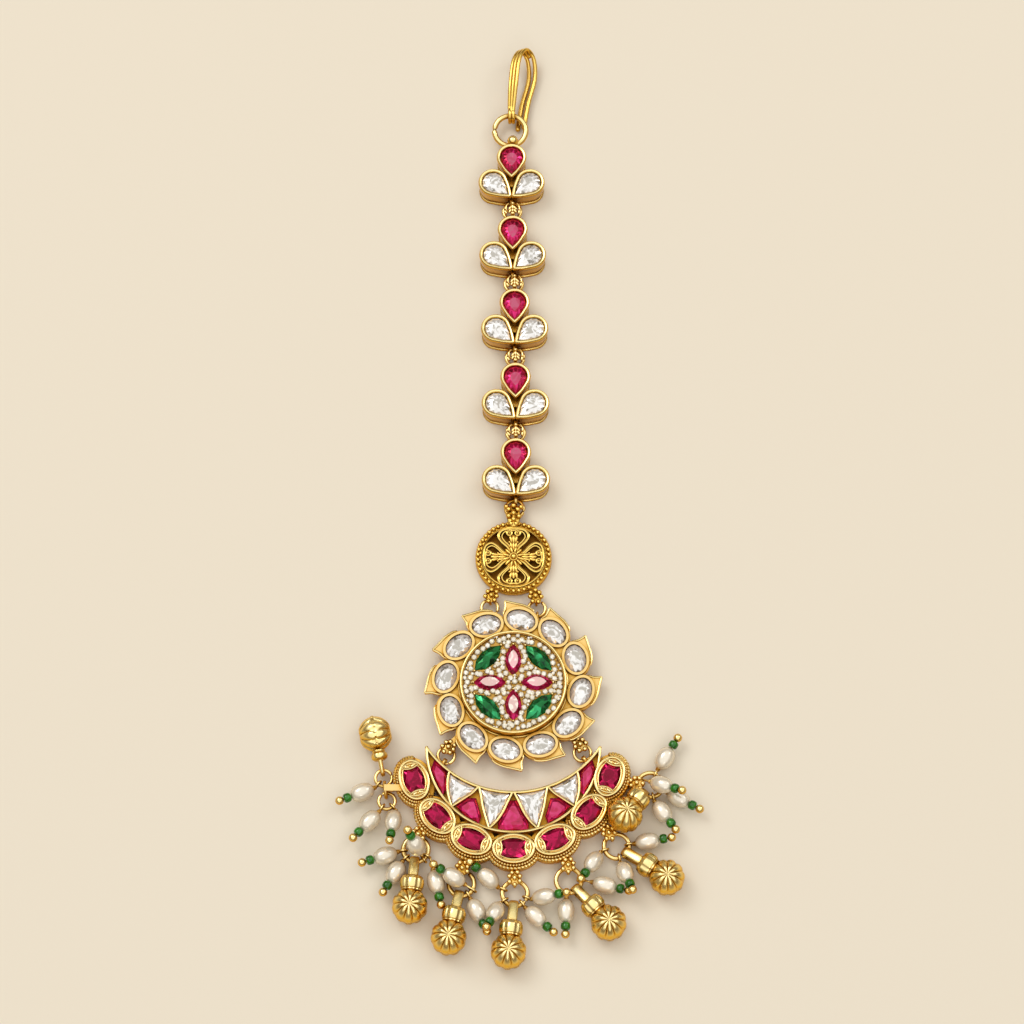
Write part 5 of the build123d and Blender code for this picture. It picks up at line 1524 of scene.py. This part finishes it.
def studio_world(stage):
    """A world that lights with bands of sky, and shows the floor's colour to the camera."""
    world = bpy.data.worlds.new("Studio")
    world.use_nodes = True
    tree = world.node_tree
    sky = tree.nodes["Background"]
    sky.inputs["Strength"].default_value = stage.fill
    heading = node(tree, "ShaderNodeTexCoord")
    split = node(tree, "ShaderNodeSeparateXYZ")
    bands = node(tree, "ShaderNodeValToRGB")
    for position, colour in SKY_BANDS[1:-1]:
        bands.color_ramp.elements.new(position)
    for element, (position, colour) in zip(bands.color_ramp.elements, SKY_BANDS):
        element.position, element.color = position, rgba(colour)
    paper = node(tree, "ShaderNodeBackground", {"Color": rgba(stage.floor)})
    ray = node(tree, "ShaderNodeLightPath")
    mix = node(tree, "ShaderNodeMixShader")
    wire_up(tree, (heading.outputs["Generated"], split.inputs[0]), (split.outputs[2], bands.inputs[0]),
            (bands.outputs[0], sky.inputs["Color"]), (ray.outputs["Is Camera Ray"], mix.inputs[0]),
            (sky.outputs[0], mix.inputs[1]), (paper.outputs[0], mix.inputs[2]),
            (mix.outputs[0], tree.nodes["World Output"].inputs[0]))
    return world


class TIKKA_OT_stage(bpy.types.Operator):
    """Set the floor, the lamps, the sky and the camera"""
    bl_idname = "tikka.stage"
    bl_label = "Stage"

    def execute(self, context):
        stage, scene = settings()[3], context.scene
        floor_mesh = bpy.data.meshes.new("floor")
        corners = [(x * FLOOR_REACH, y * FLOOR_REACH, 0) for x, y in ((-1, -1), (1, -1), (1, 1), (-1, 1))]
        floor_mesh.from_pydata(corners, [], [(0, 1, 2, 3)])
        material, _, shader = new_material("Floor paper")
        set_inputs(shader, {"Base Color": rgba(stage.floor), "Roughness": 0.9, "Specular IOR Level": 0.1})
        floor_mesh.materials.append(material)
        floor = bpy.data.objects.new("floor", floor_mesh)
        scene.collection.objects.link(floor)
        scene.world = studio_world(stage)
        for name, place, size, share in LAMPS:
            lamp(name, place, size, stage.key_power * share)

        back = Vector((0, -cos(stage.camera_height), sin(stage.camera_height)))
        camera = bpy.data.objects.new("camera", bpy.data.cameras.new("camera"))
        camera.data.sensor_width, camera.data.lens = SENSOR, LENS
        camera.data.clip_start, camera.data.clip_end = 0.01, 20
        camera.location = Vector(CAMERA_AIM) + back * stage.camera_distance
        camera.rotation_euler = (-back).to_track_quat("-Z", "Y").to_euler()
        scene.collection.objects.link(camera)
        scene.camera = camera
        scene.view_settings.view_transform = "Standard"
        return {"FINISHED"}


# ---------------------------------------------------------------- sidebar and registering
STEPS = [TIKKA_OT_chain, TIKKA_OT_rings, TIKKA_OT_disc, TIKKA_OT_medallion, TIKKA_OT_pave,
         TIKKA_OT_crescent, TIKKA_OT_bells, TIKKA_OT_pearls, TIKKA_OT_stage]
GROUPS = [("tikka_metal", TikkaMetal), ("tikka_stones", TikkaStones), ("tikka_grains", TikkaGrains),
          ("tikka_stage", TikkaStage)]


class TIKKA_PT_sidebar(bpy.types.Panel):
    """Lists the steps and settings in the 3D view's sidebar."""
    bl_idname = "TIKKA_PT_sidebar"
    bl_label = "Maang tikka"
    bl_space_type = "VIEW_3D"
    bl_region_type = "UI"
    bl_category = "Tikka"

    def draw(self, context):
        for name, group in GROUPS:
            box = self.layout.box()
            box.label(text=group.__doc__)
            for key in group.__annotations__:
                box.prop(getattr(context.scene, name), key)
        for operator in STEPS:
            self.layout.operator(operator.bl_idname)


def register():
    for name, group in GROUPS:
        bpy.utils.register_class(group)
        setattr(bpy.types.Scene, name, bpy.props.PointerProperty(type=group))
    for operator in STEPS:
        bpy.utils.register_class(operator)
    bpy.utils.register_class(TIKKA_PT_sidebar)


def unregister():
    bpy.utils.unregister_class(TIKKA_PT_sidebar)
    for operator in reversed(STEPS):
        bpy.utils.unregister_class(operator)
    for name, group in reversed(GROUPS):
        delattr(bpy.types.Scene, name)
        bpy.utils.unregister_class(group)


def main():
    register()
    for operator in STEPS:
        group, name = operator.bl_idname.split(".")
        getattr(getattr(bpy.ops, group), name)()


if __name__ == "__main__":
    main()
